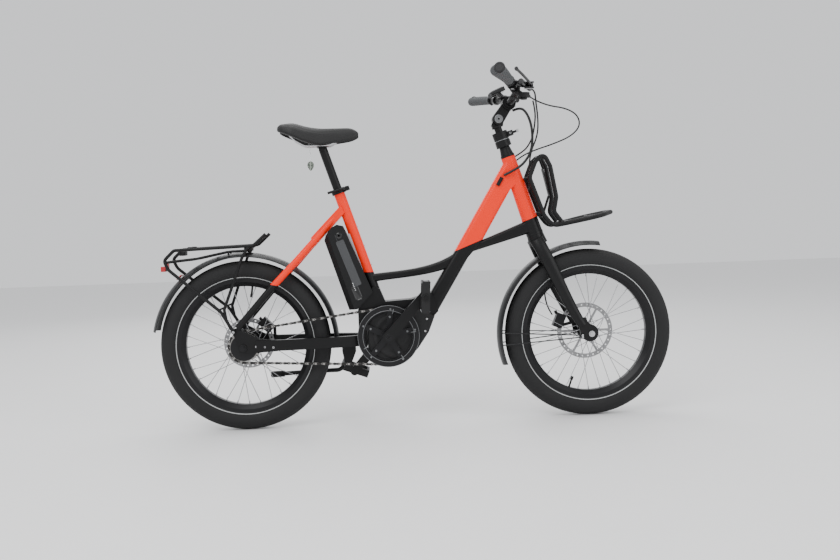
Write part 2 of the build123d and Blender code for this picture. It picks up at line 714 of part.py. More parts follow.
cover_radius = 41.0
with BuildPart() as rear_axle:
    half = dropout_inner + dropout_thickness
    rod(rear_axle_point - across * (half + axle_end), rear_axle_point + across * (half + axle_end),
        axle_radius)
    for hand in (-1, 1):
        rod(rear_axle_point + across * hand * half, rear_axle_point + across * hand * (half + 5),
            11)
    rod(rear_axle_point - across * dropout_inner, rear_axle_point - across * 57, 22)
    rod(rear_axle_point - across * 62, rear_axle_point - across * 56, cover_radius)
    rod(rear_axle_point + across * dropout_inner, rear_axle_point + across * 62.4, 12)
save(rear_axle, "rear_axle")

# ---- chain drive -------------------------------------------------------------------------------
tooth_height = 4.0
tooth_thickness = 2.8
link_half = 4.2
plate_inner = 2.6
plate_outer = 4.0
ring_inner_radius = 74.0


def toothed_disc(centre, teeth, pitch_radius, turn):
    """Draws a disc with a tooth centred between every two chain pins."""
    root = pitch_radius - 4.2
    Circle(root)
    with PolarLocations(pitch_radius - 0.6, teeth, start_angle=turn):
        Trapezoid(5.2, 7.6, 72, rotation=-90)


cog_plane = side_plane(chain_line + tooth_thickness / 2)
with BuildPart() as chainring:
    with BuildSketch(Plane(origin=crank_point + across * (chain_line + tooth_thickness / 2),
                           x_dir=(1, 0, 0), z_dir=(0, -1, 0))) as ring:
        toothed_disc(crank_point, chainring_teeth, chainring_radius, 0)
        Circle(ring_inner_radius, mode=Mode.SUBTRACT)
        with PolarLocations(42, 5, start_angle=crank_rise + 36):
            Rectangle(70, 18)
        Circle(24)
    extrude(ring.sketch, amount=tooth_thickness)
    rod(crank_point + across * (chain_line - 1), crank_point + across * (chain_line - 8), 22)
    with BuildSketch(Plane(origin=crank_point + across * (chain_line - 6.5), x_dir=(1, 0, 0),
                           z_dir=(0, -1, 0))) as guard:
        Circle(96)
        Circle(79, mode=Mode.SUBTRACT)
    extrude(guard.sketch, amount=2.5)
    for number in range(5):
        turn = radians(crank_rise + 36 + 72 * number)
        spot = crank_point + Vector(cos(turn), 0, sin(turn)) * 81.5
        rod(spot + across * (chain_line - 6.6), spot + across * (chain_line - 1.4), 2.4)
    bore(crank_point - across * 90, crank_point, spindle_radius)
save(chainring, "chainring")

with BuildPart() as rear_cog:
    with BuildSketch(Plane(origin=rear_axle_point + across * (chain_line + tooth_thickness / 2),
                           x_dir=(1, 0, 0), z_dir=(0, -1, 0))) as cog:
        toothed_disc(rear_axle_point, cog_teeth, cog_radius, 0)
    extrude(cog.sketch, amount=tooth_thickness)
    rod(rear_axle_point - across * 36.4, rear_axle_point - across * 54, 20)
    bore(rear_axle_point - across * 60, rear_axle_point, hub_bearing)
save(rear_cog, "rear_cog")

lean_of_centres = atan2(crank_point.Z - axle_height, bottom_bracket[0])
lean_of_run = asin((chainring_radius - cog_radius)
                   / hypot(bottom_bracket[0], bottom_bracket[1] - axle_height))
with BuildPart() as chain:
    for y in (chain_line + plate_outer, chain_line - plate_inner):
        with BuildSketch(side_plane(y)) as loop:
            with BuildSketch(mode=Mode.PRIVATE) as outside:
                with Locations((0, axle_height)):
                    Circle(cog_radius + link_half)
                with Locations(bottom_bracket):
                    Circle(chainring_radius + link_half)
                make_hull()
            with BuildSketch(mode=Mode.PRIVATE) as inside:
                with Locations((0, axle_height)):
                    Circle(cog_radius - link_half)
                with Locations(bottom_bracket):
                    Circle(chainring_radius - link_half)
                make_hull()
            add(outside.sketch)
            add(inside.sketch, mode=Mode.SUBTRACT)
        extrude(loop.sketch, amount=plate_outer - plate_inner)
    for way in (1, -1):
        turn = lean_of_centres + way * (pi / 2 + lean_of_run)
        if way == -1:
            turn = lean_of_centres - (pi / 2 + lean_of_run)
        out = Vector(cos(turn), 0, sin(turn))
        first = rear_axle_point + out * cog_radius
        last = crank_point + out * chainring_radius
        run = last - first
        pins = int((run.length - 70) / chain_pitch)
        for number in range(pins + 1):
            spot = first + run.normalized() * (35 + number * chain_pitch)
            rod(spot + across * (chain_line - plate_outer),
                spot + across * (chain_line + plate_outer), 3.4)
save(chain, "chain")

# ---- cranks and pedals ---------------------------------------------------------------------------
arm_inner = 74.0
arm_outer = 90.0
pedal_axle_radius = 5.0
pedal_start = 100.0
pedal_end = 192.0
crank_turn = Vector(cos(radians(crank_rise)), 0, sin(radians(crank_rise)))
right_pedal_point = crank_point + crank_turn * crank_length
left_pedal_point = crank_point - crank_turn * crank_length
with BuildPart() as crank_arms:
    for hand, eye in ((-1, right_pedal_point), (1, left_pedal_point)):
        low = min(hand * arm_inner, hand * arm_outer)
        plane = Plane(origin=(0, low + arm_outer - arm_inner, 0), x_dir=(1, 0, 0),
                      z_dir=(0, -1, 0))
        with BuildSketch(plane) as arm:
            with Locations((crank_point.X, crank_point.Z)):
                Circle(18)
            with Locations((eye.X, eye.Z)):
                Circle(13)
            make_hull()
        extrude(arm.sketch, amount=arm_outer - arm_inner)
        rod(crank_point + across * hand * (arm_inner - 14), crank_point + across * hand * arm_inner,
            17)
        rod(eye + across * hand * (arm_inner + 2), eye + across * hand * pedal_end,
            pedal_axle_radius)
        rod(eye + across * hand * pedal_end, eye + across * hand * (pedal_end + 4), 8)
    rod(crank_point - across * (arm_outer - 2), crank_point + across * (arm_outer - 2),
        spindle_radius)
save(crank_arms, "crank_arms")

pedal_half_length = 47.0
for hand, eye, turn, name in ((-1, right_pedal_point, 87, "right_pedal"),
                              (1, left_pedal_point, -20, "left_pedal")):
    along = Vector(cos(radians(turn)), 0, sin(radians(turn)))
    pedal_plane = Plane(origin=eye + across * hand * (pedal_start + pedal_end) / 2,
                        x_dir=along, z_dir=across)
    with BuildPart() as pedal:
        with Locations(pedal_plane):
            Box(2 * pedal_half_length, 24, pedal_end - pedal_start - 8)
            Box(2 * pedal_half_length - 16, 25, pedal_end - pedal_start - 24,
                mode=Mode.SUBTRACT)
        rod(eye + across * hand * (pedal_start - 3), eye + across * hand * (pedal_end - gap), 10)
        bore(eye + across * hand * (pedal_start - 20), eye + across * hand * (pedal_end + 9),
             pedal_axle_radius + running_clearance)
    save(pedal, name)

# ---- routes of the cables that hang in front of the head tube ---------------------------------
bundle_route = [at(858, -8, 969), at(880, -20, 978), at(898, -34, 958), at(909, -46, 920),
                at(911, -52, 878), at(905, -52, 838), at(888, -48, 808), at(862, -40, 786),
                at(822, -28, 768)]
second_route = [at(905, -104, 985), at(914, -96, 952), at(914, -72, 912), at(912, -40, 880),
                at(900, -8, 852), at(882, 16, 838), at(858, 27, 824), at(846, 27, 804)]
shift_route = [shifter_centre + Vector(20.6, 24.9, 0), shifter_centre + Vector(40, 50, -8),
               at(966, -40, 977), at(1022, -20, 971),
               at(1064, 0, 952), at(1076, 16, 918), at(1048, 30, 888), at(992, 36, 866),
               at(930, 36, 848), at(884, 33, 828), at(852, 28, 802)]
front_hose_route = [bar_at(-116.6, 44, 0.4), bar_at(-103, 56, -2), at(914, -102, 985),
                    at(922, -92, 930), at(924, -64, 884), at(906, -46, 840),
                    at(903, -16, 796), at(913, 0, 757), at(905, 26, 716), at(906, 44, 664),
                    at(920, 56, 600),
                    at(929, 60, 548), at(944, 64, 490), at(956, 67, 410), at(962, 64, 345),
                    at(978, 50, 318)]

# ---- mudguards ---------------------------------------------------------------------------------
guard_half_width = 34.0
guard_wall = 1.8


def mudguard(axle, crest_radius, first_angle, last_angle):
    """Adds a curved strip round a wheel between two angles above +X."""
    sag = 13.0
    with BuildSketch(wheel_plane(axle, first_angle)) as section:
        with BuildLine():
            ThreePointArc((-guard_half_width, crest_radius - sag), (0, crest_radius),
                          (guard_half_width, crest_radius - sag))
            Line((guard_half_width, crest_radius - sag),
                 (guard_half_width - guard_wall, crest_radius - sag))
            ThreePointArc((guard_half_width - guard_wall, crest_radius - sag),
                          (0, crest_radius - guard_wall),
                          (-guard_half_width + guard_wall, crest_radius - sag))
            Line((-guard_half_width + guard_wall, crest_radius - sag),
                 (-guard_half_width, crest_radius - sag))
        make_face()
    revolve(section.sketch, axis=Axis(axle, -across), revolution_arc=last_angle - first_angle)


rear_guard_start = 3.0
with BuildPart() as rear_mudguard:
    mudguard(rear_axle_point, rear_guard_radius, rear_guard_start, rear_guard_end)
save(rear_mudguard, "rear_mudguard")

front_guard_radius = 291.0
front_guard_start = 82.0
front_guard_end = 199.0
stay_wire_radius = 1.8
with BuildPart() as front_mudguard:
    mudguard(front_axle_point, front_guard_radius, front_guard_start, front_guard_end)
    for hand in (-1, 1):
        edge = wheel_plane(front_axle_point, 186).y_dir * (front_guard_radius - 14)
        low_edge = front_axle_point + edge + across * hand * (guard_half_width + 1)
        edge = wheel_plane(front_axle_point, 178).y_dir * (front_guard_radius - 14)
        high_edge = front_axle_point + edge + across * hand * (guard_half_width + 1)
        foot = at(1050, hand * (fork_end_inner + fork_end_thickness + 2.2), 256)
        rod(foot, low_edge, stay_wire_radius)
        rod(foot + Vector(0, 0, 6), high_edge, stay_wire_radius)
        rod(foot - across * hand * 2, foot + across * hand * 3, 5)
    rod(steering(-40.2), steering(-73), 5)
save(front_mudguard, "front_mudguard")

# ---- brake callipers -----------------------------------------------------------------------------
pad_gap = 1.2


def calliper(centre, out, run):
    """Adds a calliper straddling the disc at centre, out away from the axle."""
    frame_plane = Plane(origin=centre, x_dir=out, z_dir=across)
    with Locations(frame_plane * Pos(6, 0, 1.5)):
        Box(30, 46, 26)
    with Locations(frame_plane * Pos(-3, 0, -0.9)):
        Box(31, 60, 2 * pad_gap + 1.8, mode=Mode.SUBTRACT)
    rod(centre + run * 23 + across * 8 + out * 6, centre + run * 33 + across * 8 + out * 6, 5)


front_out = wheel_plane(front_axle_point, 157).y_dir
front_calliper_centre = front_axle_point + front_out * 84 + across * front_rotor_y
with BuildPart() as front_brake_calliper:
    calliper(front_calliper_centre, front_out, Vector(-0.3, 0, 0.95))
    rod(at(1008, 47, 311), at(1031, 50, 320), 5)
    rod(at(998, 47, 281), at(1042, 51, 291), 5)
    add(fork.part, mode=Mode.SUBTRACT)
save(front_brake_calliper, "front_brake_calliper")

rear_out = wheel_plane(rear_axle_point, 44).y_dir
rear_calliper_centre = rear_axle_point + rear_out * 74 + across * rear_rotor_y
with BuildPart() as rear_brake_calliper:
    calliper(rear_calliper_centre, rear_out, Vector(-0.7, 0, 0.7))
    for x, top in ((60, 298), (82, 316)):
        rod(at(x, 62, chainstay_top), at(x, 62, top), 5)
save(rear_brake_calliper, "rear_brake_calliper")

# ---- rear carrier and tail light -------------------------------------------------------------------
carrier_tube = 5.0
dropout_face = dropout_inner + dropout_thickness
carrier_foot_y = dropout_face + carrier_tube + 1
with BuildPart() as rear_carrier:
    for hand in (-1, 1):
        bent_rod([at(80, hand * 50, 611), at(42, hand * 56, 577), at(-198, hand * 60, 570),
                  at(-229, hand * 60, 540), at(-217, hand * 62, 512),
                  at(-62, hand * 74, 378), at(-26, hand * carrier_foot_y, 316)],
                 carrier_tube, [20, 14, 14, 40, 40])
        bent_rod([at(28, hand * 56.4, 577), at(6, hand * 60, 540), at(-52, hand * 73, 385),
                  at(-46, hand * 77, 350), at(-33, hand * carrier_foot_y, 326)],
                 4.5, [40, 16, 16])
        bent_rod([at(-222, hand * 60, 534), at(-140, hand * 40, 541), at(-40, hand * 22, 560),
                  at(12, hand * 22, 561), at(36, hand * 54, 577)], 4.0, [60, 80, 14])
        rod(at(-70, hand * 74, 384), at(-50, hand * 73, 392), 3)
        rod(at(-26, hand * dropout_face, 316), at(-26, hand * (carrier_foot_y + 4), 316), 6)
        rod(at(-40, hand * 22, 559), at(-40, hand * 22, 549.8), 3)
    rod(at(20, 0, 576), at(20, 0, 555.9), 5)
    for x, z, half in ((-190, 570.2, 60), (-90, 573.2, 58), (20, 576.3, 56), (-226, 534, 60)):
        rod(at(x, -half, z), at(x, half, z), 4.0)
save(rear_carrier, "rear_carrier")

light_half_width = 26.0
with BuildPart() as tail_light:
    with Locations(Plane(origin=at(-241, 0, 513), z_dir=(-1, 0, 0), x_dir=(0, 1, 0))):
        Box(2 * light_half_width, 16, 14)
    with Locations(at(-231.5, 0, 521.5)):
        Box(6, 12, 17)
save(tail_light, "tail_light")

# ---- front carrier, fixed to the head tube ------------------------------------------------------------
loop_tube = 7.0
with BuildPart() as front_carrier:
    for hand in (-1, 1):
        bent_rod([at(1152, hand * 40, 643), at(1102, hand * 108, 632), at(1012, hand * 66, 614),
                  at(969, hand * 38, 606), at(943, hand * 36, 640), at(900, hand * 36, 758),
                  at(920, hand * 36, 808), at(946, hand * 36, 832), at(966, hand * 36, 792),
                  at(983, hand * 36, 696), at(974, hand * 36, 650), at(996, hand * 40, 620)],
                 loop_tube, [45, 60, 30, 26, 24, 24, 14, 40, 30, 22])
    rod(at(1152, -40, 643), at(1152, 40, 643), loop_tube)
    for left in (-24, 24):
        rod(at(1030, left, 618), at(1152, left, 643), 4)
    for spot, half in ((steering(165, 38), 36), (at(944, 0, 640), 36), (at(1030, 0, 618), 72),
                       (at(1100, 0, 632), 84), (at(936, 0, 822), 36)):
        rod(spot - across * half, spot + across * half, 5)
    rod(steering(165, 22.9), steering(165, 38), 7)
    rod(steering(52, 24.8), at(944, 0, 640), 7)
    add(front_frame.part, mode=Mode.SUBTRACT)
save(front_carrier, "front_carrier")

# ---- kickstand --------------------------------------------------------------------------------------------
stand_pivot = at(313, 50, 181)
stand_axis = Vector(-0.15, 0.95, 0.28).normalized()
stand_pin_radius = 5.0
with BuildPart() as kickstand_bracket:
    slab([(296, 253), (296, 228), (303, 190), (325, 189), (340, 226), (340, 253)], 36, 49)
    rod(stand_pivot - stand_axis * 14, stand_pivot + stand_axis * 3, 13)
    rod(stand_pivot + stand_axis * 1, stand_pivot + stand_axis * 18, stand_pin_radius)
save(kickstand_bracket, "kickstand_bracket")

with BuildPart() as kickstand_leg:
    rod(stand_pivot + stand_axis * 3.3, stand_pivot + stand_axis * 17, 12)
    bent_rod([stand_pivot + stand_axis * 10, at(282, 62, 165), at(232, 72, 163),
              at(100, 88, 156)], 7.0, [24, 60])
    rod(at(104, 87.5, 156), at(62, 93, 154), 9.5)
    bore(stand_pivot + stand_axis * 3, stand_pivot + stand_axis * 18,
         stand_pin_radius + running_clearance)
save(kickstand_leg, "kickstand_leg")

# ---- seat post and saddle ------------------------------------------------------------------------------------
post_foot = 150.0
post_rise = 150.0
post_top = seat_head + seat_up * post_rise
rail_radius = 3.5
rail_half_gap = 22.0
clamp_level = 878.0
clamp_forward = 259.0
with BuildPart() as seat_post:
    rod(seat_head - seat_up * post_foot, post_top - seat_up * 2, seat_post_radius)
    rod(at(clamp_forward, -16, clamp_level - 9), at(clamp_forward, 16, clamp_level - 9), 9)
    with Locations(at(clamp_forward, 0, clamp_level)):
        Box(28, 49, 13)
    for hand in (-1, 1):
        bore(at(clamp_forward - 30, hand * rail_half_gap, clamp_level),
             at(clamp_forward + 30, hand * rail_half_gap, clamp_level), rail_radius)
save(seat_post, "seat_post")

with BuildPart() as saddle_rails:
    for hand in (-1, 1):
        bent_rod([at(348, hand * 7, 906), at(320, hand * 14, 901),
                  at(288, hand * rail_half_gap, clamp_level),
                  at(208, hand * rail_half_gap, clamp_level), at(180, hand * 30, 894),
                  at(153, hand * 34, 922)], rail_radius, [10, 20, 30, 20])
save(saddle_rails, "saddle_rails")

saddle_stations = [(128, 44, 925, 14), (150, 72, 914, 34), (178, 80, 902, 47), (215, 62, 887, 52),
                   (255, 38, 879, 54), (300, 25, 886, 46), (345, 19, 892, 39), (374, 10, 903, 14)]
padding_share = 0.32
base_wall = 3.0


def shell_loft(stations, shares, rims):
    """Lofts arched shells through the stations, between two shares of each one's rise."""
    rings = []
    for x, half, level, rise in stations:
        with BuildSketch(Plane(origin=at(x, 0, level), x_dir=(0, 1, 0), z_dir=(1, 0, 0))) as ring:
            with BuildLine():
                outer = half - rims[0]
                inner = half - rims[1]
                ThreePointArc((outer, 0), (0, rise * shares[0]), (-outer, 0))
                Line((-outer, 0), (-inner, 0))
                ThreePointArc((-inner, 0), (0, rise * shares[1]), (inner, 0))
                Line((inner, 0), (outer, 0))
            make_face()
        rings.append(ring.sketch)
    loft(rings)


with BuildPart() as saddle_base:
    shell_loft(saddle_stations[:-1], (0.96 - padding_share, 0.88 - padding_share),
               (3.4, 3.4 + base_wall))
    add(saddle_rails.part, mode=Mode.SUBTRACT)
save(saddle_base, "saddle_base")

with BuildPart() as saddle_cover:
    shell_loft(saddle_stations, (1, 1 - padding_share), (0, 3))
save(saddle_cover, "saddle_cover")

tag_hook = at(224, -rail_half_gap, clamp_level - rail_radius - 0.4)
tag_knot = tag_hook - Vector(0, 0, 4)
with BuildPart() as hang_tag:
    rod(tag_hook, tag_hook - Vector(0, 0, 44), 1.2)
    rod(tag_knot - across * 1.8, tag_knot + across * 1.8, 1.8)
    with BuildSketch(Plane(origin=tag_hook - Vector(0, -1, 58), x_dir=(1, 0, 0),
                           z_dir=(0, -1, 0))) as leaf:
        with BuildLine():
            Spline((0, 17), (10, 2), (0, -15), (-10, 2), (0, 17))
        make_face()
    extrude(leaf.sketch, amount=2)
save(hang_tag, "hang_tag")

# ---- cables and hoses -------------------------------------------------------------------------------------------
with BuildPart() as cable_port:
    port_mouth = at(815, -down_tube_half_width, 760)
    port_run = Vector(-0.5, 0, -0.86)
    rod(port_mouth - port_run * 2 - across * 2.2, port_mouth + port_run * 26 - across * 2.2, 6)
    slab([(780, 720), (780, 780), (840, 780), (840, 720)], -down_tube_half_width, 0,
         Mode.SUBTRACT)
save(cable_port, "cable_port")


def cable(points, radius):
    """Adds a cable along its route, with the largest arcs that its runs allow."""
    bent_rod(points, radius, cable_bends(points))


for name, routes in (("cable_bundle", [(bundle_route, 4.0), (second_route, 2.5)]),
                     ("shift_cable", [(shift_route, 2.4)]),
                     ("front_brake_hose", [(front_hose_route, 2.5)])):
    with BuildPart() as cables:
        for points, radius in routes:
            cable(points, radius)
            print(name, "smallest bend", round(min(cable_bends(points)), 1))
    save(cables, name)
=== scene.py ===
import json
import math
import bpy
import numpy as np
from mathutils import Matrix, Vector


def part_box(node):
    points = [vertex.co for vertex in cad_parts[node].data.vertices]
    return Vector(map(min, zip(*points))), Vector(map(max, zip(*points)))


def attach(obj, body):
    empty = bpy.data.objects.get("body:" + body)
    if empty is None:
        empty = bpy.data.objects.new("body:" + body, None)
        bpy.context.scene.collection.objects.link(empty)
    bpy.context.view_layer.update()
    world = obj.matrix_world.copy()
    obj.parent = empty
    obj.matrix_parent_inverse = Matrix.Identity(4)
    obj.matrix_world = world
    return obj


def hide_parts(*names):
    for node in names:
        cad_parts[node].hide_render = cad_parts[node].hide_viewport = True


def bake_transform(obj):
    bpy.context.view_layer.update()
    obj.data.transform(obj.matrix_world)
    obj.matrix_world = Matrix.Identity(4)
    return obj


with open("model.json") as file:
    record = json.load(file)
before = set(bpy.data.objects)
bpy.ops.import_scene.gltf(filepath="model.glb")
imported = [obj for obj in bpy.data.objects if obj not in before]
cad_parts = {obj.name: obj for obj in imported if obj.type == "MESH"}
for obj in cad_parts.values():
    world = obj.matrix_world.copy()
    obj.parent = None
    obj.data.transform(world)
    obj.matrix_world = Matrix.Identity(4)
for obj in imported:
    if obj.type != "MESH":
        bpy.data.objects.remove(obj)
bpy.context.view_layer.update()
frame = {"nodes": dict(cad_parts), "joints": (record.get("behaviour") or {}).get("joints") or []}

nodes = frame["nodes"]
joints = {joint["name"]: joint for joint in frame["joints"]}
rearAxle = (Vector(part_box("rear_rotor")[0]) + Vector(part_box("rear_rotor")[1])) / 2
rearAxle.y = 0
frontAxle = Vector(joints["front_wheel_spin"]["pos_m"])
crankAxle = Vector(joints["crank_spin"]["pos_m"])
steerAxis = Vector(joints["steering"]["axis"])
steerFoot = Vector(joints["steering"]["pos_m"])
steerFront = Vector((0, 1, 0)).cross(steerAxis)
acrossY = Vector((0, 1, 0))


# places are millimetres forward of the rear axle, left of the centre plane and above the ground
def place(x, y, z):
    return Vector((rearAxle.x + x / 1000, y / 1000, z / 1000))


def steering(height, forward=0.0, left=0.0):
    return steerFoot + steerAxis * height / 1000 + steerFront * forward / 1000 + acrossY * left / 1000


gripInner = (824.0, 190.0, 1030.2)
gripOuter = (774.4, 325.0, 1048.5)


def barAt(y, forward=0.0, up=0.0):
    share = (abs(y) - gripInner[1]) / (gripOuter[1] - gripInner[1])
    return place(gripInner[0] + (gripOuter[0] - gripInner[0]) * share + forward, y,
                 gripInner[2] + (gripOuter[2] - gripInner[2]) * share + up)


def socketValue(node, name, value):
    node.inputs[name].default_value = value


grainShape = {"fineDetail": 4.0, "broadScale": 9.0, "broadDetail": 6.0, "bumpDistance": 0.001,
              "brightGain": 1.2, "dustFrom": 0.3, "dust": (0.32, 0.3, 0.27, 1)}


def grainGroup():
    group = bpy.data.node_groups.new("surfaceGrain", "ShaderNodeTree")
    face = group.interface
    for name, low in (("Base", None), ("Roughness", 0.5), ("Grain Scale", 300.0), ("Grain Depth", 0.1),
                      ("Variation", 0.15), ("Dust", 0.1)):
        kind = "NodeSocketColor" if name == "Base" else "NodeSocketFloat"
        face.new_socket(name=name, in_out="INPUT", socket_type=kind)
    face.new_socket(name="Color", in_out="OUTPUT", socket_type="NodeSocketColor")
    face.new_socket(name="Roughness", in_out="OUTPUT", socket_type="NodeSocketFloat")
    face.new_socket(name="Normal", in_out="OUTPUT", socket_type="NodeSocketVector")
    new = group.nodes.new
    link = group.links.new
    entry = new("NodeGroupInput")
    leave = new("NodeGroupOutput")
    coords = new("ShaderNodeTexCoord")
    fine = new("ShaderNodeTexNoise")
    broad = new("ShaderNodeTexNoise")
    link(coords.outputs["Object"], fine.inputs["Vector"])
    link(coords.outputs["Object"], broad.inputs["Vector"])
    link(entry.outputs["Grain Scale"], fine.inputs["Scale"])
    socketValue(fine, "Detail", grainShape["fineDetail"])
    socketValue(broad, "Scale", grainShape["broadScale"])
    socketValue(broad, "Detail", grainShape["broadDetail"])
    bump = new("ShaderNodeBump")
    link(entry.outputs["Grain Depth"], bump.inputs["Strength"])
    socketValue(bump, "Distance", grainShape["bumpDistance"])
    link(fine.outputs["Fac"], bump.inputs["Height"])
    link(bump.outputs["Normal"], leave.inputs["Normal"])
    centred = new("ShaderNodeMath")
    centred.operation = "SUBTRACT"
    link(broad.outputs["Fac"], centred.inputs[0])
    centred.inputs[1].default_value = 0.5
    spread = new("ShaderNodeMath")
    spread.operation = "MULTIPLY"
    link(centred.outputs[0], spread.inputs[0])
    link(entry.outputs["Variation"], spread.inputs[1])
    rough = new("ShaderNodeMath")
    rough.operation = "ADD"
    rough.use_clamp = True
    link(spread.outputs[0], rough.inputs[0])
    link(entry.outputs["Roughness"], rough.inputs[1])
    link(rough.outputs[0], leave.inputs["Roughness"])
    bright = new("ShaderNodeMath")
    bright.operation = "MULTIPLY_ADD"
    link(spread.outputs[0], bright.inputs[0])
    bright.inputs[1].default_value = grainShape["brightGain"]
    bright.inputs[2].default_value = 1.0
    hue = new("ShaderNodeHueSaturation")
    link(bright.outputs[0], hue.inputs["Value"])
    link(entry.outputs["Base"], hue.inputs["Color"])
    facing = new("ShaderNodeNewGeometry")
    upward = new("ShaderNodeSeparateXYZ")
    link(facing.outputs["Normal"], upward.inputs[0])
    settle = new("ShaderNodeMapRange")
    link(upward.outputs["Z"], settle.inputs["Value"])
    socketValue(settle, "From Min", grainShape["dustFrom"])
    dusty = new("ShaderNodeMath")
    dusty.operation = "MULTIPLY"
    link(settle.outputs["Result"], dusty.inputs[0])
    link(entry.outputs["Dust"], dusty.inputs[1])
    patchy = new("ShaderNodeMath")
    patchy.operation = "MULTIPLY"
    link(dusty.outputs[0], patchy.inputs[0])
    link(broad.outputs["Fac"], patchy.inputs[1])
    mix = new("ShaderNodeMix")
    mix.data_type = "RGBA"
    link(patchy.outputs[0], mix.inputs["Factor"])
    link(hue.outputs["Color"], mix.inputs["A"])
    mix.inputs["B"].default_value = grainShape["dust"]
    link(mix.outputs["Result"], leave.inputs["Color"])
    return group


grain = grainGroup()


def finish(name, base, roughness=0.5, metallic=0.0, scale=300.0, depth=0.08, variation=0.15, dust=0.06,
           coat=0.0, sheen=0.0, gloss=0.5):
    material = bpy.data.materials.new(name)
    material.use_nodes = True
    tree = material.node_tree
    shader = tree.nodes["Principled BSDF"]
    surface = tree.nodes.new("ShaderNodeGroup")
    surface.name = "surface"
    surface.node_tree = grain
    socketValue(surface, "Base", (*base, 1))
    socketValue(surface, "Roughness", roughness)
    socketValue(surface, "Grain Scale", scale)
    socketValue(surface, "Grain Depth", depth)
    socketValue(surface, "Variation", variation)
    socketValue(surface, "Dust", dust)
    tree.links.new(surface.outputs["Color"], shader.inputs["Base Color"])
    tree.links.new(surface.outputs["Roughness"], shader.inputs["Roughness"])
    tree.links.new(surface.outputs["Normal"], shader.inputs["Normal"])
    socketValue(shader, "Metallic", metallic)
    socketValue(shader, "Coat Weight", coat)
    socketValue(shader, "Sheen Weight", sheen)
    socketValue(shader, "Specular IOR Level", gloss)
    return material


blackLacquer = (0.0035, 0.0035, 0.0038)
orangeLacquer = (0.9, 0.022, 0.0004)
blackPaint = finish("blackPaint", blackLacquer, 0.4, 0.0, 700, 0.05, 0.12, 0.008, coat=0.04, gloss=0.22)
blackSatin = finish("blackSatin", (0.004, 0.004, 0.0044), 0.48, 0.0, 900, 0.12, 0.15, 0.008, gloss=0.24)
blackPlastic = finish("blackPlastic", (0.0085, 0.0085, 0.009), 0.58, 0.0, 1400, 0.35, 0.18, 0.02, gloss=0.3)
glossBlack = finish("glossBlack", (0.004, 0.004, 0.0045), 0.14, 0.0, 500, 0.02, 0.06, 0.01,
                    coat=0.35, gloss=0.4)
batteryShell = finish("batteryShell", (0.004, 0.0042, 0.0046), 0.55, 0.0, 1600, 0.3, 0.12, 0.015, gloss=0.25)
batteryEdge = finish("batteryEdge", (0.05, 0.052, 0.055), 0.42, 0.2, 1600, 0.2, 0.12, 0.02, gloss=0.4)
anodised = finish("anodisedBlack", (0.012, 0.012, 0.013), 0.36, 0.5, 500, 0.05, 0.12, 0.015, gloss=0.35)
silver = finish("satinAluminium", (0.5, 0.5, 0.51), 0.3, 1.0, 600, 0.08, 0.12, 0.01)
steel = finish("spokeSteel", (0.3, 0.3, 0.31), 0.25, 1.0, 800, 0.05, 0.12, 0.01)
discSteel = finish("discSteel", (0.27, 0.27, 0.275), 0.32, 1.0, 2200, 0.25, 0.18, 0.01)
chainDark = finish("chainDark", (0.035, 0.034, 0.033), 0.4, 0.9, 1500, 0.2, 0.3, 0.02)
chainSteel = finish("chainSteel", (0.3, 0.29, 0.28), 0.34, 1.0, 1500, 0.2, 0.3, 0.03)
darkRubber = finish("darkRubber", (0.008, 0.008, 0.0085), 0.72, 0.0, 1200, 0.3, 0.12, 0.03, gloss=0.25)
cableBlack = finish("cableBlack", (0.006, 0.006, 0.0065), 0.35, 0.0, 1800, 0.1, 0.12, 0.01, gloss=0.35)
guardBlack = finish("guardBlack", (0.012, 0.0125, 0.0135), 0.36, 0.2, 1000, 0.06, 0.16, 0.02, gloss=0.4)
gripGrey = finish("gripGrey", (0.06, 0.063, 0.066), 0.75, 0.0, 1500, 0.5, 0.2, 0.01, sheen=0.08, gloss=0.3)
redLens = finish("redLens", (0.4, 0.004, 0.008), 0.18, 0.0, 700, 0.3, 0.1, 0.0, coat=0.5)
greyRing = finish("greyRing", (0.2, 0.205, 0.21), 0.4, 0.8, 900, 0.1, 0.12, 0.01)
clearWhite = finish("clearWhite", (0.75, 0.76, 0.77), 0.15, 0.0, 900, 0.3, 0.05, 0.0, coat=0.6)


# short notation for the math nodes of one material
class Maths:
    def __init__(self, tree):
        self.tree = tree

    def value(self, operation, *terms):
        node = self.tree.nodes.new("ShaderNodeMath")
        node.operation = operation
        for index, term in enumerate(terms):
            if isinstance(term, (int, float)):
                node.inputs[index].default_value = term
            else:
                self.tree.links.new(term, node.inputs[index])
        return node.outputs[0]


# the base colour is low where the mask is 0 and high where it is 1
def mixInto(material, mask, low, high):
    tree = material.node_tree
    mix = tree.nodes.new("ShaderNodeMix")
    mix.data_type = "RGBA"
    tree.links.new(mask, mix.inputs["Factor"])
    mix.inputs["A"].default_value = (*low, 1)
    mix.inputs["B"].default_value = (*high, 1)
    tree.links.new(mix.outputs["Result"], tree.nodes["surface"].inputs["Base"])
    return material


# orange lacquer where the expression is above zero, black lacquer elsewhere
def splitPaint(name, orangeWhere):
    material = finish(name, orangeLacquer, 0.42, 0.0, 900, 0.04, 0.1, 0.004, coat=0.05, gloss=0.2)
    tree = material.node_tree
    maths = Maths(tree)
    coords = tree.nodes.new("ShaderNodeTexCoord")
    split = tree.nodes.new("ShaderNodeSeparateXYZ")
    tree.links.new(coords.outputs["Object"], split.inputs[0])
    x = maths.value("SUBTRACT", split.outputs["X"], rearAxle.x)
    mask = maths.value("GREATER_THAN", orangeWhere(maths, x, split.outputs["Z"]), 0.0)
    return mixInto(material, mask, blackLacquer, orangeLacquer)


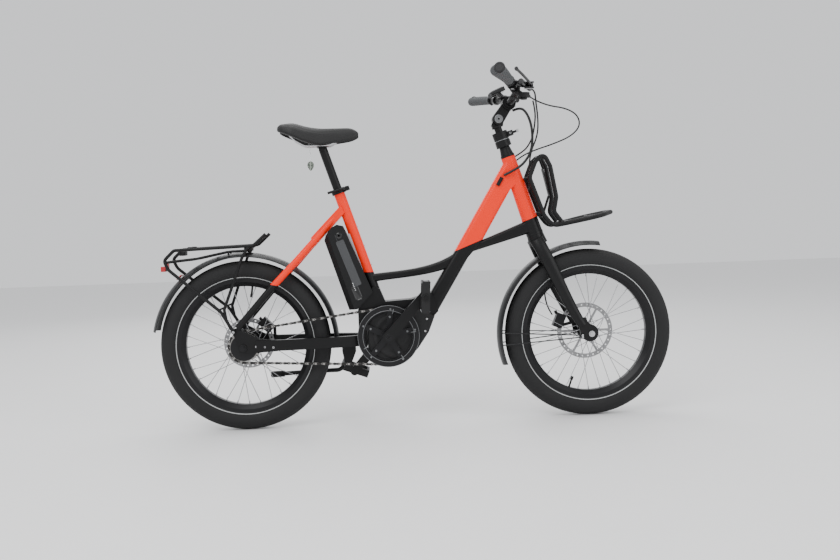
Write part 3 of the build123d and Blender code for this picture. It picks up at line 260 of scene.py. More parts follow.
def frameOrange(maths, x, z):
    downLine = maths.value("SUBTRACT", z, maths.value("MULTIPLY_ADD", x, 0.173, 0.4198))
    braceLine = maths.value("SUBTRACT", z, maths.value("MULTIPLY_ADD", x, 0.389, 0.279))
    front = maths.value("MINIMUM", downLine, braceLine)
    seat = maths.value("MINIMUM", maths.value("SUBTRACT", z, 0.481), maths.value("SUBTRACT", 0.46, x))
    return maths.value("MAXIMUM", front, seat)


def stayOrange(maths, x, z):
    return maths.value("SUBTRACT", z, maths.value("MULTIPLY_ADD", x, -0.22, 0.476))


def tyreFinish(name):
    material = finish(name, (0.016, 0.016, 0.017), 0.74, 0.0, 1300, 0.35, 0.2, 0.05, gloss=0.3)
    tree = material.node_tree
    maths = Maths(tree)
    radial = tree.nodes.new("ShaderNodeAttribute")
    radial.attribute_name = "radial"
    away = maths.value("ABSOLUTE", maths.value("SUBTRACT", radial.outputs["Fac"], tyre["stripeAt"]))
    band = maths.value("LESS_THAN", away, tyre["stripeHalf"])
    return mixInto(material, band, tyre["rubber"], tyre["stripe"])


def leatherFinish(name):
    material = finish(name, (0.009, 0.009, 0.0092), 0.55, 0.0, 500, 0.1, 0.15, 0.015, gloss=0.35)
    tree = material.node_tree
    coords = tree.nodes.new("ShaderNodeTexCoord")
    cells = tree.nodes.new("ShaderNodeTexVoronoi")
    cells.feature = "DISTANCE_TO_EDGE"
    socketValue(cells, "Scale", 620.0)
    tree.links.new(coords.outputs["Object"], cells.inputs["Vector"])
    bump = tree.nodes.new("ShaderNodeBump")
    socketValue(bump, "Strength", 0.35)
    socketValue(bump, "Distance", 0.0006)
    tree.links.new(cells.outputs["Distance"], bump.inputs["Height"])
    tree.links.new(tree.nodes["surface"].outputs["Normal"], bump.inputs["Normal"])
    tree.links.new(bump.outputs["Normal"], tree.nodes["Principled BSDF"].inputs["Normal"])
    return material


def leafFinish(name, hook):
    material = finish(name, (0.02, 0.03, 0.022), 0.35, 0.0, 900, 0.05, 0.1, 0.0, coat=0.3)
    tree = material.node_tree
    maths = Maths(tree)
    coords = tree.nodes.new("ShaderNodeTexCoord")
    split = tree.nodes.new("ShaderNodeSeparateXYZ")
    tree.links.new(coords.outputs["Object"], split.inputs[0])
    side = maths.value("ABSOLUTE", maths.value("SUBTRACT", split.outputs["X"], hook.x))
    rise = maths.value("MULTIPLY_ADD", side, -0.8, split.outputs["Z"])
    wave = maths.value("SINE", maths.value("MULTIPLY", rise, 1400.0))
    veins = maths.value("GREATER_THAN", wave, 0.82)
    rib = maths.value("LESS_THAN", side, 0.0005)
    mark = maths.value("MAXIMUM", veins, rib)
    return mixInto(material, mark, leaf["ground"], leaf["print"])


leaf = {"rows": 40, "columns": 21, "half": 10.2, "drop": 0.0435, "length": 0.031,
        "ground": (0.018, 0.026, 0.02), "print": (0.45, 0.5, 0.42)}
framePaint = splitPaint("framePaint", frameOrange)
stayPaint = splitPaint("stayPaint", stayOrange)
leather = leatherFinish("saddleLeather")

nodeFinish = {
    "front_frame": framePaint, "rear_triangle": stayPaint, "motor_housing": blackPlastic,
    "battery_pack": batteryShell, "battery_rail": silver, "seat_collar": blackPaint,
    "seat_clamp_lever": blackPaint, "headset_cups": blackPaint, "cable_port": darkRubber,
    "rear_carrier": blackSatin, "rear_mudguard": guardBlack, "tail_light": redLens,
    "front_carrier": blackSatin, "kickstand_bracket": blackSatin, "kickstand_leg": blackSatin,
    "rear_brake_calliper": anodised, "fork": blackPaint, "steerer_cone": blackPaint,
    "lifter_collar": blackPaint, "lifter_lever": anodised, "lifter_tube": blackPaint,
    "stem_base": blackPaint, "stem_arm": blackPaint, "handlebar": blackPaint,
    "brake_bodies": glossBlack, "left_brake_lever": anodised, "right_brake_lever": anodised,
    "gear_shifter": blackPlastic, "shift_lever": blackPlastic, "display_unit": glossBlack,
    "assist_rocker": blackPlastic, "front_mudguard": guardBlack, "front_brake_calliper": anodised,
    "front_axle": silver, "front_hub": anodised, "front_spokes": steel, "front_rim": anodised,
    "front_rotor": discSteel, "rear_axle": anodised, "rear_hub": anodised, "rear_spokes": steel,
    "rear_rim": anodised, "rear_rotor": discSteel, "rear_cog": chainSteel, "crank_arms": blackPaint,
    "chainring": anodised, "left_pedal": blackPlastic, "right_pedal": blackPlastic,
    "seat_post": blackPaint, "saddle_rails": silver, "saddle_base": blackPlastic,
}
for name, material in nodeFinish.items():
    piece = nodes[name]
    if not piece.material_slots:
        piece.data.materials.append(material)
    for materialSlot in piece.material_slots:
        materialSlot.material = material
print("finishes done")


def gridFaces(rows, columns, closeRows=False, closeColumns=True):
    r = np.arange(rows if closeRows else rows - 1)
    c = np.arange(columns if closeColumns else columns - 1)
    rr, cc = np.meshgrid(r, c, indexing="ij")
    nextRow = (rr + 1) % rows
    nextColumn = (cc + 1) % columns
    quads = np.stack([rr * columns + cc, rr * columns + nextColumn, nextRow * columns + nextColumn,
                      nextRow * columns + cc], axis=-1)
    return quads.reshape(-1, 4)


def meshPiece(name, points, faces, body, material, smooth=True, replaced=(), slotName=None):
    mesh = bpy.data.meshes.new(name)
    mesh.from_pydata(np.asarray(points, float).reshape(-1, 3).tolist(), [],
                     [list(map(int, face)) for face in faces])
    mesh.update()
    mesh.polygons.foreach_set("use_smooth", [smooth] * len(mesh.polygons))
    mesh.materials.append(material)
    piece = bpy.data.objects.new(name, mesh)
    bpy.context.scene.collection.objects.link(piece)
    if body:
        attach(piece, body)
    if replaced:
        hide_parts(*replaced)
    return piece


# collects many small shapes into one mesh
class Batch:
    def __init__(self):
        self.points = []
        self.faces = []
        self.count = 0

    def add(self, points, faces):
        self.points.extend(np.asarray(points, float).reshape(-1, 3).tolist())
        self.faces.extend([[int(i) + self.count for i in face] for face in faces])
        self.count = len(self.points)

    def tube(self, path, radius, sides=12, capped=True):
        path = np.asarray(path, float)
        count = len(path)
        radii = np.full(count, radius, float) if np.isscalar(radius) else np.asarray(radius, float)
        tangent = np.gradient(path, axis=0)
        tangent /= np.linalg.norm(tangent, axis=1)[:, None]
        normal = np.cross(tangent[0], (0.31, 0.87, 0.37))
        normal /= np.linalg.norm(normal)
        angle = np.arange(sides) * 2 * math.pi / sides
        rings = []
        for index in range(count):
            normal = normal - tangent[index] * normal.dot(tangent[index])
            normal /= np.linalg.norm(normal)
            other = np.cross(tangent[index], normal)
            rings.append(path[index] + radii[index] * (np.cos(angle)[:, None] * normal
                                                       + np.sin(angle)[:, None] * other))
        faces = gridFaces(count, sides).tolist()
        if capped:
            faces += [list(range(sides))[::-1], list(range((count - 1) * sides, count * sides))]
        self.add(np.concatenate(rings), faces)

    def turned(self, centre, axis, profile, sides=24):
        axis = Vector(axis).normalized()
        side = axis.orthogonal().normalized()
        other = axis.cross(side)
        angle = np.arange(sides) * 2 * math.pi / sides
        ring = np.cos(angle)[:, None] * np.array(side) + np.sin(angle)[:, None] * np.array(other)
        rings = [np.array(centre) + np.array(axis) * along / 1000 + ring * max(radius, 0.01) / 1000
                 for along, radius in profile]
        faces = gridFaces(len(profile), sides).tolist()
        faces += [list(range(sides))[::-1],
                  list(range((len(profile) - 1) * sides, len(profile) * sides))]
        self.add(np.concatenate(rings), faces)

    def bolt(self, centre, axis, radius=3.0, height=2.4):
        self.turned(centre, axis, [(-0.6, radius), (height * 0.35, radius), (height * 0.85, radius * 0.86),
                                   (height, radius * 0.66), (height, radius * 0.48),
                                   (height * 0.35, radius * 0.45)], 20)

    # a box with rounded upright edges and a chamfered top and bottom
    def block(self, centre, axes, size, corner=1.5, steps=3):
        x, y, z = (np.array(Vector(axis).normalized()) for axis in axes)
        half = np.array(size) / 2000
        corner = corner / 1000
        outline = []
        for quarter in range(4):
            sx = 1 if quarter in (0, 3) else -1
            sy = 1 if quarter in (0, 1) else -1
            for step in range(steps + 1):
                turn = math.pi / 2 * (quarter + step / steps)
                outline.append((sx * (half[0] - corner) + corner * math.cos(turn),
                                sy * (half[1] - corner) + corner * math.sin(turn)))
        outline = np.array(outline)
        levels = [(-half[2], 1 - corner * 0.5 / min(half[:2])), (-half[2] + corner * 0.4, 1.0),
                  (half[2] - corner * 0.4, 1.0), (half[2], 1 - corner * 0.5 / min(half[:2]))]
        rings = [np.array(centre) + outline[:, :1] * share * x + outline[:, 1:] * share * y + z * level
                 for level, share in levels]
        sides = len(outline)
        faces = gridFaces(4, sides).tolist()
        faces += [list(range(sides))[::-1], list(range(3 * sides, 4 * sides))]
        self.add(np.concatenate(rings), faces)

    def piece(self, name, body, material, **words):
        return meshPiece(name, self.points, self.faces, body, material, **words)


def sharpen(piece, degrees=35):
    piece.data.set_sharp_from_angle(angle=math.radians(degrees))
    return piece


# a point radius mm from a wheel axle, at an angle above +X and y mm to the left
def aboutY(centre, radius, angle, y):
    return np.array([centre.x + radius / 1000 * math.cos(angle), y / 1000,
                     centre.z + radius / 1000 * math.sin(angle)])


lensSet = {"lens": 37.64, "sensor": 36, "spot": (0.4263, -2.76209, 0.61673), "roll": 0.0069}
viewForward = Vector((0.044897, 0.997166, -0.060368))
viewUp = Vector((0.043665, 0.058413, 0.997337))
viewRight = viewForward.cross(viewUp).normalized()
roll = lensSet["roll"]
right = viewRight * math.cos(roll) + viewUp * math.sin(roll)
up = viewUp * math.cos(roll) - viewRight * math.sin(roll)
cameraData = bpy.data.cameras.new("camera")
cameraData.lens = lensSet["lens"]
cameraData.sensor_width = lensSet["sensor"]
camera = bpy.data.objects.new("camera", cameraData)
bpy.context.scene.collection.objects.link(camera)
spot = lensSet["spot"]
turn = Matrix((right, up, -viewForward)).transposed()
camera.matrix_world = Matrix.Translation((rearAxle.x + spot[0], spot[1], spot[2])) @ turn.to_4x4()
bpy.context.scene.camera = camera

for name, spot, aim, size, power in (
        ("keyLight", (-1.6, -2.6, 3.2), (0, 0, 0.4), 2.6, 95),
        ("fillLight", (2.6, -2.2, 1.8), (0, 0, 0.5), 2.4, 38),
        ("topLight", (0.2, 0.6, 3.6), (0, 0, 0.3), 3.0, 60),
        ("backLight", (-0.8, 3.2, 2.4), (0, 0, 0.5), 2.4, 30)):
    light = bpy.data.lights.new(name, "AREA")
    light.size = size
    light.energy = power
    lamp = bpy.data.objects.new(name, light)
    bpy.context.scene.collection.objects.link(lamp)
    lamp.matrix_world = (Matrix.Translation(spot)
                         @ (Vector(aim) - Vector(spot)).to_track_quat("-Z", "Y").to_matrix().to_4x4())
world = bpy.data.worlds.new("studio")
world.use_nodes = True
world.node_tree.nodes["Background"].inputs["Color"].default_value = (0.95, 0.96, 0.98, 1)
world.node_tree.nodes["Background"].inputs["Strength"].default_value = 1.0
bpy.context.scene.world = world

floorMaterial = finish("paleFloor", (0.82, 0.82, 0.82), 0.55, 0.0, 60, 0.01, 0.02, 0.0)
reach = 9.0
floor = meshPiece("floor", [(-reach, -reach, 0), (reach, -reach, 0), (reach, reach, 0), (-reach, reach, 0)],
                  [(0, 1, 2, 3)], None, floorMaterial, smooth=False)
print("camera and studio done")

tyre = {"radius": 265.0, "half": 30.5, "foot": 205.2, "beadHalf": 17.5, "around": 720, "section": 72,
        "blocks": 90, "groove": 1.1, "crownShare": 0.78, "crownTurn": 118, "stripeAt": 0.2140,
        "stripeHalf": 0.0011, "rubber": (0.0115, 0.0115, 0.012), "stripe": (0.42, 0.43, 0.43)}
nipple = {"count": 32, "outer": 186.4, "inner": 177.0, "side": 4.0, "splay": 1.4, "radius": 0.0019}
valveAt = {"front": 250, "rear": 82}


# an open casing with a cut tread and fine shoulder ribs
def tyreMesh(name, axle, body, material, replaced):
    equator = tyre["radius"] - tyre["half"]
    v = np.linspace(-1, 1, tyre["section"])
    share = np.abs(v)
    crown = np.clip(share / tyre["crownShare"], 0, 1)
    bead = np.clip((share - tyre["crownShare"]) / 0.22, 0, 1)
    crownEnd = math.radians(tyre["crownTurn"])
    arcY = tyre["half"] * np.sin(crown * crownEnd)
    arcR = equator + tyre["half"] * np.cos(crown * crownEnd)
    edgeY = tyre["half"] * math.sin(crownEnd)
    edgeR = equator + tyre["half"] * math.cos(crownEnd)
    y = np.sign(v) * np.where(bead > 0, edgeY + (tyre["beadHalf"] - edgeY) * bead, arcY)
    radius = np.where(bead > 0, edgeR + (tyre["foot"] - edgeR) * bead, arcR)
    u = np.arange(tyre["around"]) / tyre["around"]
    uu, vv = np.meshgrid(u, v, indexing="ij")
    tread = np.abs(vv) < 0.4
    slant = (uu * tyre["blocks"] + np.abs(vv) * 4.5) % 1.0
    cut = (np.abs(slant - 0.5) < 0.11) & (np.abs(vv) > 0.09)
    lengthwise = (np.abs(np.abs(vv) - 0.09) < 0.016) | (np.abs(np.abs(vv) - 0.26) < 0.014)
    shoulder = (np.abs(vv) >= 0.4) & (np.abs(vv) < 0.5) & (((uu * 180) % 1.0) < 0.3)
    depth = np.where(tread & (cut | lengthwise), tyre["groove"], 0.0) + np.where(shoulder, 0.4, 0.0)
    rr = np.broadcast_to(radius, uu.shape) - depth
    yy = np.broadcast_to(y, uu.shape)
    angle = uu * 2 * math.pi
    points = np.stack([axle.x + rr * np.cos(angle) / 1000, yy / 1000,
                       axle.z + rr * np.sin(angle) / 1000], axis=-1)
    faces = gridFaces(tyre["around"], tyre["section"], closeRows=True, closeColumns=False)
    piece = meshPiece(name, points, faces[:, ::-1], body, material, replaced=(replaced,),
                      slotName="tyre")
    radial = piece.data.attributes.new("radial", "FLOAT", "POINT")
    radial.data.foreach_set("value", (rr / 1000).reshape(-1).astype(np.float32))
    return piece


for side, axle in (("front", frontAxle), ("rear", rearAxle)):
    tyreMesh(side + "Tyre", axle, side + "_wheel", tyreFinish(side + "TyreRubber"), side + "_tyre")
    fittings = Batch()
    for number in range(nipple["count"]):
        turnBy = 2 * math.pi * number / nipple["count"]
        y = nipple["side"] if number % 2 == 0 else -nipple["side"]
        fittings.tube([aboutY(axle, nipple["outer"], turnBy, y),
                       aboutY(axle, nipple["inner"], turnBy, y * nipple["splay"])], nipple["radius"], 8)
    sharpen(fittings.piece(side + "Nipples", side + "_wheel", silver))
    stem = Batch()
    turnBy = math.radians(valveAt[side])
    stem.tube([aboutY(axle, 187, turnBy, 0), aboutY(axle, 160, turnBy, 0)], 0.0031, 12)
    stem.tube([aboutY(axle, 162, turnBy, 0), aboutY(axle, 151, turnBy, 0)], 0.0044, 12)
    stem.piece(side + "Valve", side + "_wheel", darkRubber)
print("tyres done")

chain = {"pitch": 12.7, "cogTeeth": 24, "ringTeeth": 44, "arcSteps": 60, "endRadius": 0.0038,
         "waist": 0.0027, "outerOffset": 0.0036, "innerOffset": 0.0024, "plate": 0.0009}
chainLine = -48.0
pitch = chain["pitch"]
cogRadius = pitch / 2 / math.sin(math.pi / chain["cogTeeth"])
ringRadius = pitch / 2 / math.sin(math.pi / chain["ringTeeth"])


# pitch points of the closed loop round cog and chainring, evenly spaced
def chainPath():
    run = crankAxle - rearAxle
    span = math.hypot(run.x, run.z)
    lean = math.atan2(run.z, run.x)
    flare = math.asin((ringRadius - cogRadius) / 1000 / span)
    top = lean + math.pi / 2 + flare
    low = lean - math.pi / 2 - flare
    path = []
    for angle in np.linspace(top, low + 2 * math.pi, chain["arcSteps"]):
        path.append(aboutY(rearAxle, cogRadius, angle, chainLine))
    for angle in np.linspace(low, top, chain["arcSteps"]):
        path.append(aboutY(crankAxle, ringRadius, angle, chainLine))
    path = np.array(path + [path[0]])
    length = np.concatenate([[0], np.cumsum(np.linalg.norm(np.diff(path, axis=0), axis=1))])
    count = int(round(length[-1] * 1000 / pitch / 2)) * 2
    where = np.arange(count) * length[-1] / count
    return np.stack([np.interp(where, length, path[:, k]) for k in range(3)], axis=-1)


pins = chainPath()
outerLinks = Batch()
innerLinks = Batch()
for number in range(len(pins)):
    links = outerLinks if number % 2 else innerLinks
    first = pins[number]
    last = pins[(number + 1) % len(pins)]
    along = (last - first) / np.linalg.norm(last - first)
    high = np.cross(along, (0, 1, 0))
    outline = []
    for end, way in ((last, 1), (first, -1)):
        for step in range(7):
            turnBy = math.pi * (step / 6 - 0.5)
            outline.append(end + chain["endRadius"] * (math.cos(turnBy) * along * way
                                                       + math.sin(turnBy) * high * way))
    outline.insert(7, (first + last) / 2 + high * chain["waist"])
    outline.append((first + last) / 2 - high * chain["waist"])
    outline = np.array(outline)
    offset = chain["outerOffset"] if number % 2 else chain["innerOffset"]
    sides = len(outline)
    for way in (-1, 1):
        near = outline + np.array([0, way * offset, 0])
        far = outline + np.array([0, way * (offset - chain["plate"]), 0])
        faces = gridFaces(2, sides).tolist() + [list(range(sides))[::-1], list(range(sides, 2 * sides))]
        links.add(np.concatenate([near, far]), faces)
    links.tube([first - np.array([0, 0.0041, 0]), first + np.array([0, 0.0041, 0])], 0.0018, 10)
    links.tube([first - np.array([0, 0.0014, 0]), first + np.array([0, 0.0014, 0])], 0.0036, 12)
sharpen(outerLinks.piece("chainOuterLinks", "frame", chainDark, replaced=("chain",), slotName="chain_steel"))
sharpen(innerLinks.piece("chainInnerLinks", "frame", chainSteel, slotName="chain_steel"))
print("chain done", len(pins), "links")

# each station is x, half width, level of the rim and rise of the crown
saddleShape = {"rows": 110, "columns": 64, "seamAt": 0.62, "seamWidth": 0.02, "seamDepth": 0.9,
               "channelWidth": 0.09, "channelDepth": 2.4, "liningShare": 0.86, "skin": 3.0}
saddleStations = np.array([(128, 44, 925, 14), (136, 60, 920, 26), (150, 72, 914, 34),
                           (178, 80, 902, 47), (215, 62, 887, 52), (255, 38, 879, 54),
                           (300, 25, 886, 46), (345, 19, 892, 39), (366, 14, 899, 24),
                           (374, 8, 904, 11)], float)


# Catmull-Rom rows through the given ones, evenly spread by row
def smoothRows(rows, count):
    position = np.linspace(0, len(rows) - 1, count)
    index = np.clip(position.astype(int), 0, len(rows) - 2)
    t = (position - index)[:, None]
    before = rows[np.clip(index - 1, 0, len(rows) - 1)]
    here = rows[index]
    there = rows[index + 1]
    after = rows[np.clip(index + 2, 0, len(rows) - 1)]
    return 0.5 * (2 * here + (there - before) * t + (2 * before - 5 * here + 4 * there - after) * t ** 2
                  + (3 * here - before - 3 * there + after) * t ** 3)


saddleRows = smoothRows(saddleStations, saddleShape["rows"])
columns = saddleShape["columns"]
v = np.linspace(-1, 1, columns)
points = []
for index, (x, half, level, rise) in enumerate(saddleRows):
    bend = v * math.pi / 2
    y = half * np.sign(v) * np.abs(np.sin(bend)) ** 0.92
    z = level + rise * np.cos(bend) ** 0.62 * 0.985
    away = (np.abs(v) - saddleShape["seamAt"]) / saddleShape["seamWidth"]
    seam = np.exp(-away ** 2) * saddleShape["seamDepth"]
    channel = (np.exp(-(v / saddleShape["channelWidth"]) ** 2) * saddleShape["channelDepth"]
               * math.sin(math.pi * np.clip((x - 150) / 190, 0, 1)) ** 0.5)
    z = z - channel - seam
    points.append(np.stack([np.full(columns, x), y * 0.995, z], axis=-1))
points = np.array(points)
inner = points.copy()
inner[:, :, 1] *= saddleShape["liningShare"]
inner[:, :, 2] = np.minimum(points[:, :, 2] - saddleShape["skin"],
                            saddleRows[:, 2][:, None] + saddleRows[:, 3][:, None]
                            * 0.68 * np.cos(v * math.pi / 2)[None, :] ** 0.62 + 1.0)
outerCount = len(points) * columns
skins = np.concatenate([points.reshape(-1, 3), inner.reshape(-1, 3)])
skins = np.stack([rearAxle.x + skins[:, 0] / 1000, skins[:, 1] / 1000, skins[:, 2] / 1000], axis=-1)
faces = gridFaces(len(points), columns, closeColumns=False).tolist()
faces += [[i + outerCount for i in face[::-1]] for face in faces]
rows = len(points)
for row in range(rows - 1):
    for column, flip in ((0, False), (columns - 1, True)):
        a = row * columns + column
        b = a + columns
        face = [a, b, b + outerCount, a + outerCount]
        faces.append(face[::-1] if flip else face)
for row, flip in ((0, True), (rows - 1, False)):
    for column in range(columns - 1):
        a = row * columns + column
        face = [a, a + 1, a + 1 + outerCount, a + outerCount]
        faces.append(face[::-1] if flip else face)
saddle = meshPiece("saddleCover", skins, faces, "seat", leather, replaced=("saddle_cover",),
                   slotName="saddle_skin")
trim = Batch()
for side in (-1, 1):
    edge = points[3:-3, 0 if side < 0 else columns - 1, :]
    trim.tube(np.stack([rearAxle.x + edge[:, 0] / 1000, edge[:, 1] / 1000, edge[:, 2] / 1000 + 0.0012],
                       axis=-1), 0.0016, 8)
trim.piece("saddlePiping", "seat", blackPlastic)
print("saddle done")

gripShape = {"inner": 201, "outer": 323, "rows": 150, "columns": 72, "core": 13.9, "swell": 1.3,
             "wing": 13.5, "lean": 0.22, "flatness": 0.96, "cellTurns": 34, "cellDepth": 0.35}
for side, tag in ((-1, "right"), (1, "left")):
    start = np.array(barAt(side * gripShape["inner"]))
    end = np.array(barAt(side * gripShape["outer"]))
    along = (end - start) / np.linalg.norm(end - start)
    high = np.array([0, 0, 1.0]) - along * along[2]
    high /= np.linalg.norm(high)
    back = np.cross(high, along) * side
    if back[0] > 0:
        back = -back
    length = np.linalg.norm(end - start)
    rows, columns = gripShape["rows"], gripShape["columns"]
    s = np.linspace(0, 1, rows)
    angle = np.arange(columns) * 2 * math.pi / columns
    ss, aa = np.meshgrid(s, angle, indexing="ij")
    wing = (2.0 + gripShape["wing"] * np.clip((ss - 0.08) / 0.75, 0, 1) ** 1.3
            * (1 - np.clip((ss - 0.9) / 0.1, 0, 1) ** 2))
    lean = aa + gripShape["lean"]
    radius = (gripShape["core"] + gripShape["swell"] * np.sin(ss * math.pi)
              + wing * np.clip(np.cos(lean), 0, 1) ** 2.2)
    turns = ss * gripShape["cellTurns"]
    cells = ((turns + aa * 9 / math.pi) % 1.0 < 0.24) | ((turns - aa * 9 / math.pi) % 1.0 < 0.24)
    patterned = (ss > 0.07) & (ss < 0.93)
    radius = radius - np.where(cells & patterned, gripShape["cellDepth"], 0.0)
    points = (start + along * (ss * length)[..., None]
              + (np.cos(aa) * radius / 1000)[..., None] * back
              + (np.sin(aa) * radius * gripShape["flatness"] / 1000)[..., None] * high)
    faces = gridFaces(rows, columns).tolist()
    faces += [list(range(columns))[::-1], list(range((rows - 1) * columns, rows * columns))]
    grip = meshPiece(tag + "Grip", points, faces, "bar", gripGrey, slotName="grip_grey")
    if side < 0:
        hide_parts("grips")
    ends = Batch()
    ends.turned(Vector(start - along * 0.006), Vector(along),
                [(0, 12.2), (0.6, 15.2), (6.4, 15.8), (7.2, 14.6)], 40)
    ends.turned(Vector(end - along * 0.0015), Vector(along),
                [(0, 14.6), (0.8, 16.2), (4.2, 15.2), (4.6, 11.0), (3.6, 10.6)], 40)
    ends.bolt(Vector(start - along * 0.002) + Vector((0, 0, -0.0155)), (0, 0, -1), 2.4, 2.0)
    sharpen(ends.piece(tag + "GripClamps", "bar", anodised))
print("grips done")

bodiesDown = ["bar", "stem_base", "lifter", "fork_assembly", "frame"]
# the hose's middle stretch rides on the frame, which keeps it clear of the carrier when the fork turns
hoseDown = ["bar", "stem_base", "lifter", "fork_assembly", "frame", "frame", "fork_assembly",
            "fork_assembly"]
shifterNeck = barAt(-124, 26, -22)
shiftStart = [shifterNeck + Vector((0.0206, 0.0249, 0)), shifterNeck + Vector((0.04, 0.05, -0.008))]
routes = {
    "cableBundle": ([place(858, -8, 969), place(880, -20, 978), place(898, -34, 958), place(909, -46, 920),
                     place(911, -52, 878), place(905, -52, 838), place(888, -48, 808),
                     place(862, -40, 786), place(822, -28, 768)], 4.0, (0, 0.22, 0.45, 0.7, 1.0)),
    "secondCable": ([place(905, -104, 985), place(914, -96, 952), place(914, -72, 912),
                     place(912, -40, 880), place(900, -8, 852), place(882, 16, 838),
                     place(858, 27, 824), place(846, 27, 804)], 2.5, (0, 0.2, 0.4, 0.65, 1.0)),
    "shiftCable": (shiftStart + [place(966, -40, 977), place(1022, -20, 971), place(1064, 0, 952),
                                 place(1076, 16, 918), place(1048, 30, 888), place(992, 36, 866),
                                 place(930, 36, 848), place(884, 33, 828), place(852, 28, 802)],
                   2.4, (0, 0.3, 0.5, 0.72, 1.0)),
    "frontBrakeHose": ([barAt(-116.6, 44, 0.4), barAt(-103, 56, -2), place(914, -102, 985),
                        place(922, -92, 930), place(924, -64, 884), place(906, -46, 840),
                        place(903, -16, 796), place(913, 0, 757), place(905, 26, 716),
                        place(906, 44, 664), place(920, 56, 600), place(929, 60, 548),
                        place(944, 64, 490), place(956, 67, 410), place(962, 64, 345),
                        place(978, 50, 318)], 2.5, (0, 0.1, 0.19, 0.27, 0.36, 0.55, 0.76, 1.0)),
}
stands = {"cableBundle": "cable_bundle", "shiftCable": "shift_cable", "frontBrakeHose": "front_brake_hose"}


# the points of the NURBS line that a route gives
def smoothRoute(points):
    curve = bpy.data.curves.new("route", "CURVE")
    curve.dimensions = "3D"
    curve.resolution_u = 24
    spline = curve.splines.new("NURBS")
    spline.points.add(len(points) - 1)
    for target, point in zip(spline.points, points):
        target.co = (*point, 1)
    spline.order_u = 3
    spline.use_endpoint_u = True
    holder = bpy.data.objects.new("route", curve)
    bpy.context.scene.collection.objects.link(holder)
    mesh = bpy.data.meshes.new_from_object(holder)
    line = np.array([vertex.co for vertex in mesh.vertices])
    bpy.data.objects.remove(holder)
    bpy.data.curves.remove(curve)
    bpy.data.meshes.remove(mesh)
    return line


for name, (points, radius, breaks) in routes.items():
    line = smoothRoute(points)
    length = np.concatenate([[0], np.cumsum(np.linalg.norm(np.diff(line, axis=0), axis=1))])
    share = length / length[-1]
    carried = hoseDown if name == "frontBrakeHose" else bodiesDown
    for number, pair in enumerate(zip(carried[:-1], carried[1:])):
        low, high = breaks[number], breaks[number + 1]
        spots = np.linspace(low, high, 48)
        part = np.stack([np.interp(spots, share, line[:, k]) for k in range(3)], axis=-1)
        stretch = Batch()
        stretch.tube(part, radius / 1000, 14)
        if pair[0] == pair[1]:
            piece = stretch.piece(f"{name}{number}", pair[0], cableBlack)
        else:
            piece = stretch.piece(f"{name}{number}", None, cableBlack)
            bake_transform(piece)
        if number == 0 and name in stands:
            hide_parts(stands[name])
print("cables done")

tagHook = place(224, -22, 874)
rows, columns = leaf["rows"], leaf["columns"]
s = np.linspace(0, 1, rows)
w = np.linspace(-1, 1, columns)
ss, ww = np.meshgrid(s, w, indexing="ij")
width = leaf["half"] * np.sin(np.clip(ss * 1.02, 0, 1) ** 0.75 * math.pi) ** 0.8
px = tagHook.x + ww * width / 1000
pz = tagHook.z - leaf["drop"] - ss * leaf["length"]
py = tagHook.y - 0.0002 + 0.0012 * ww ** 2 + 0.001 * np.sin(ss * 3.0)
front = np.stack([px, py - 0.0006, pz], axis=-1).reshape(-1, 3)
rear = np.stack([px, py + 0.0006, pz], axis=-1).reshape(-1, 3)
faces = gridFaces(rows, columns, closeColumns=False).tolist()
count = rows * columns
faces += [[i + count for i in face[::-1]] for face in faces]
for row in range(rows - 1):
    for column, flip in ((0, False), (columns - 1, True)):
        a = row * columns + column
        face = [a, a + columns, a + columns + count, a + count]
        faces.append(face[::-1] if flip else face)
meshPiece("leafTag", np.concatenate([front, rear]), faces, "hang_tag", leafFinish("leafPrint", tagHook),
          replaced=("hang_tag",), slotName="tag_card")
thread = Batch()
loop = [tagHook + Vector((0.0046 * math.sin(a), 0, 0.0042 + 0.0046 * math.cos(a)))
        for a in np.linspace(0, 2 * math.pi, 25)]
thread.tube(loop, 0.0007, 8, capped=False)
for lean in (-1, 1):
    thread.tube([tagHook + Vector((lean * 0.0012 * math.sin(t * 9), lean * 0.0008 * math.cos(t * 9),
                                   -t * 0.045)) for t in np.linspace(0, 1, 30)], 0.0006, 8)
thread.piece("tagString", "hang_tag", clearWhite)
print("tag done")

frameBolts = Batch()
for x, z in ((40, 268), (66, 266), (92, 264)):
    frameBolts.bolt(place(x, -75.0, z), (0, -1, 0), 3.6, 2.2)
for x, z in ((430, 330), (520, 344), (560, 292), (500, 214), (405, 232), (566, 330)):
    frameBolts.bolt(place(x, -40.4, z), (0, -1, 0), 3.4, 2.2)
    frameBolts.bolt(place(x, 52.4, z), (0, 1, 0), 3.4, 2.2)
for z in (620, 560, 500):
    frameBolts.bolt(place(302.5 + (744.5 - z) * 0.3249 + 16.6, 0, z + 5), (0.951, 0, 0.309), 3.0, 2.0)
sharpen(frameBolts.piece("frameBolts", "frame", silver))

battery = Batch()
battery.turned(place(303, -40.6, 598), (0, -1, 0),
               [(-1, 9.0), (0.8, 9.0), (1.4, 8.0), (1.4, 3.2), (0.4, 3.0)], 32)
battery.block(place(352, -41.2, 420), ((0.35, 0, -0.94), (0.94, 0, 0.35), (0, -1, 0)),
              (46, 22, 2.4), 5)
sharpen(battery.piece("batteryLock", "frame", glossBlack))
batteryTrim = Batch()
for y in (-41.1, 41.1):
    batteryTrim.tube([place(291, y, 600), place(328, y, 500), place(366, y, 398)], 0.0008, 8)
    batteryTrim.block(place(330, y, 512), ((0.345, 0, -0.939), (0.939, 0, 0.345), (0, 1, 0)),
                      (150, 26, 1.2), 4)
sharpen(batteryTrim.piece("batteryPanels", "frame", batteryEdge))
lights = Batch()
for number in range(5):
    lights.turned(place(340 + number * 1.9, -42.6, 449 - number * 5.2), (0, -1, 0),
                  [(-0.6, 1.5), (0.5, 1.4), (0.7, 0.9)], 12)
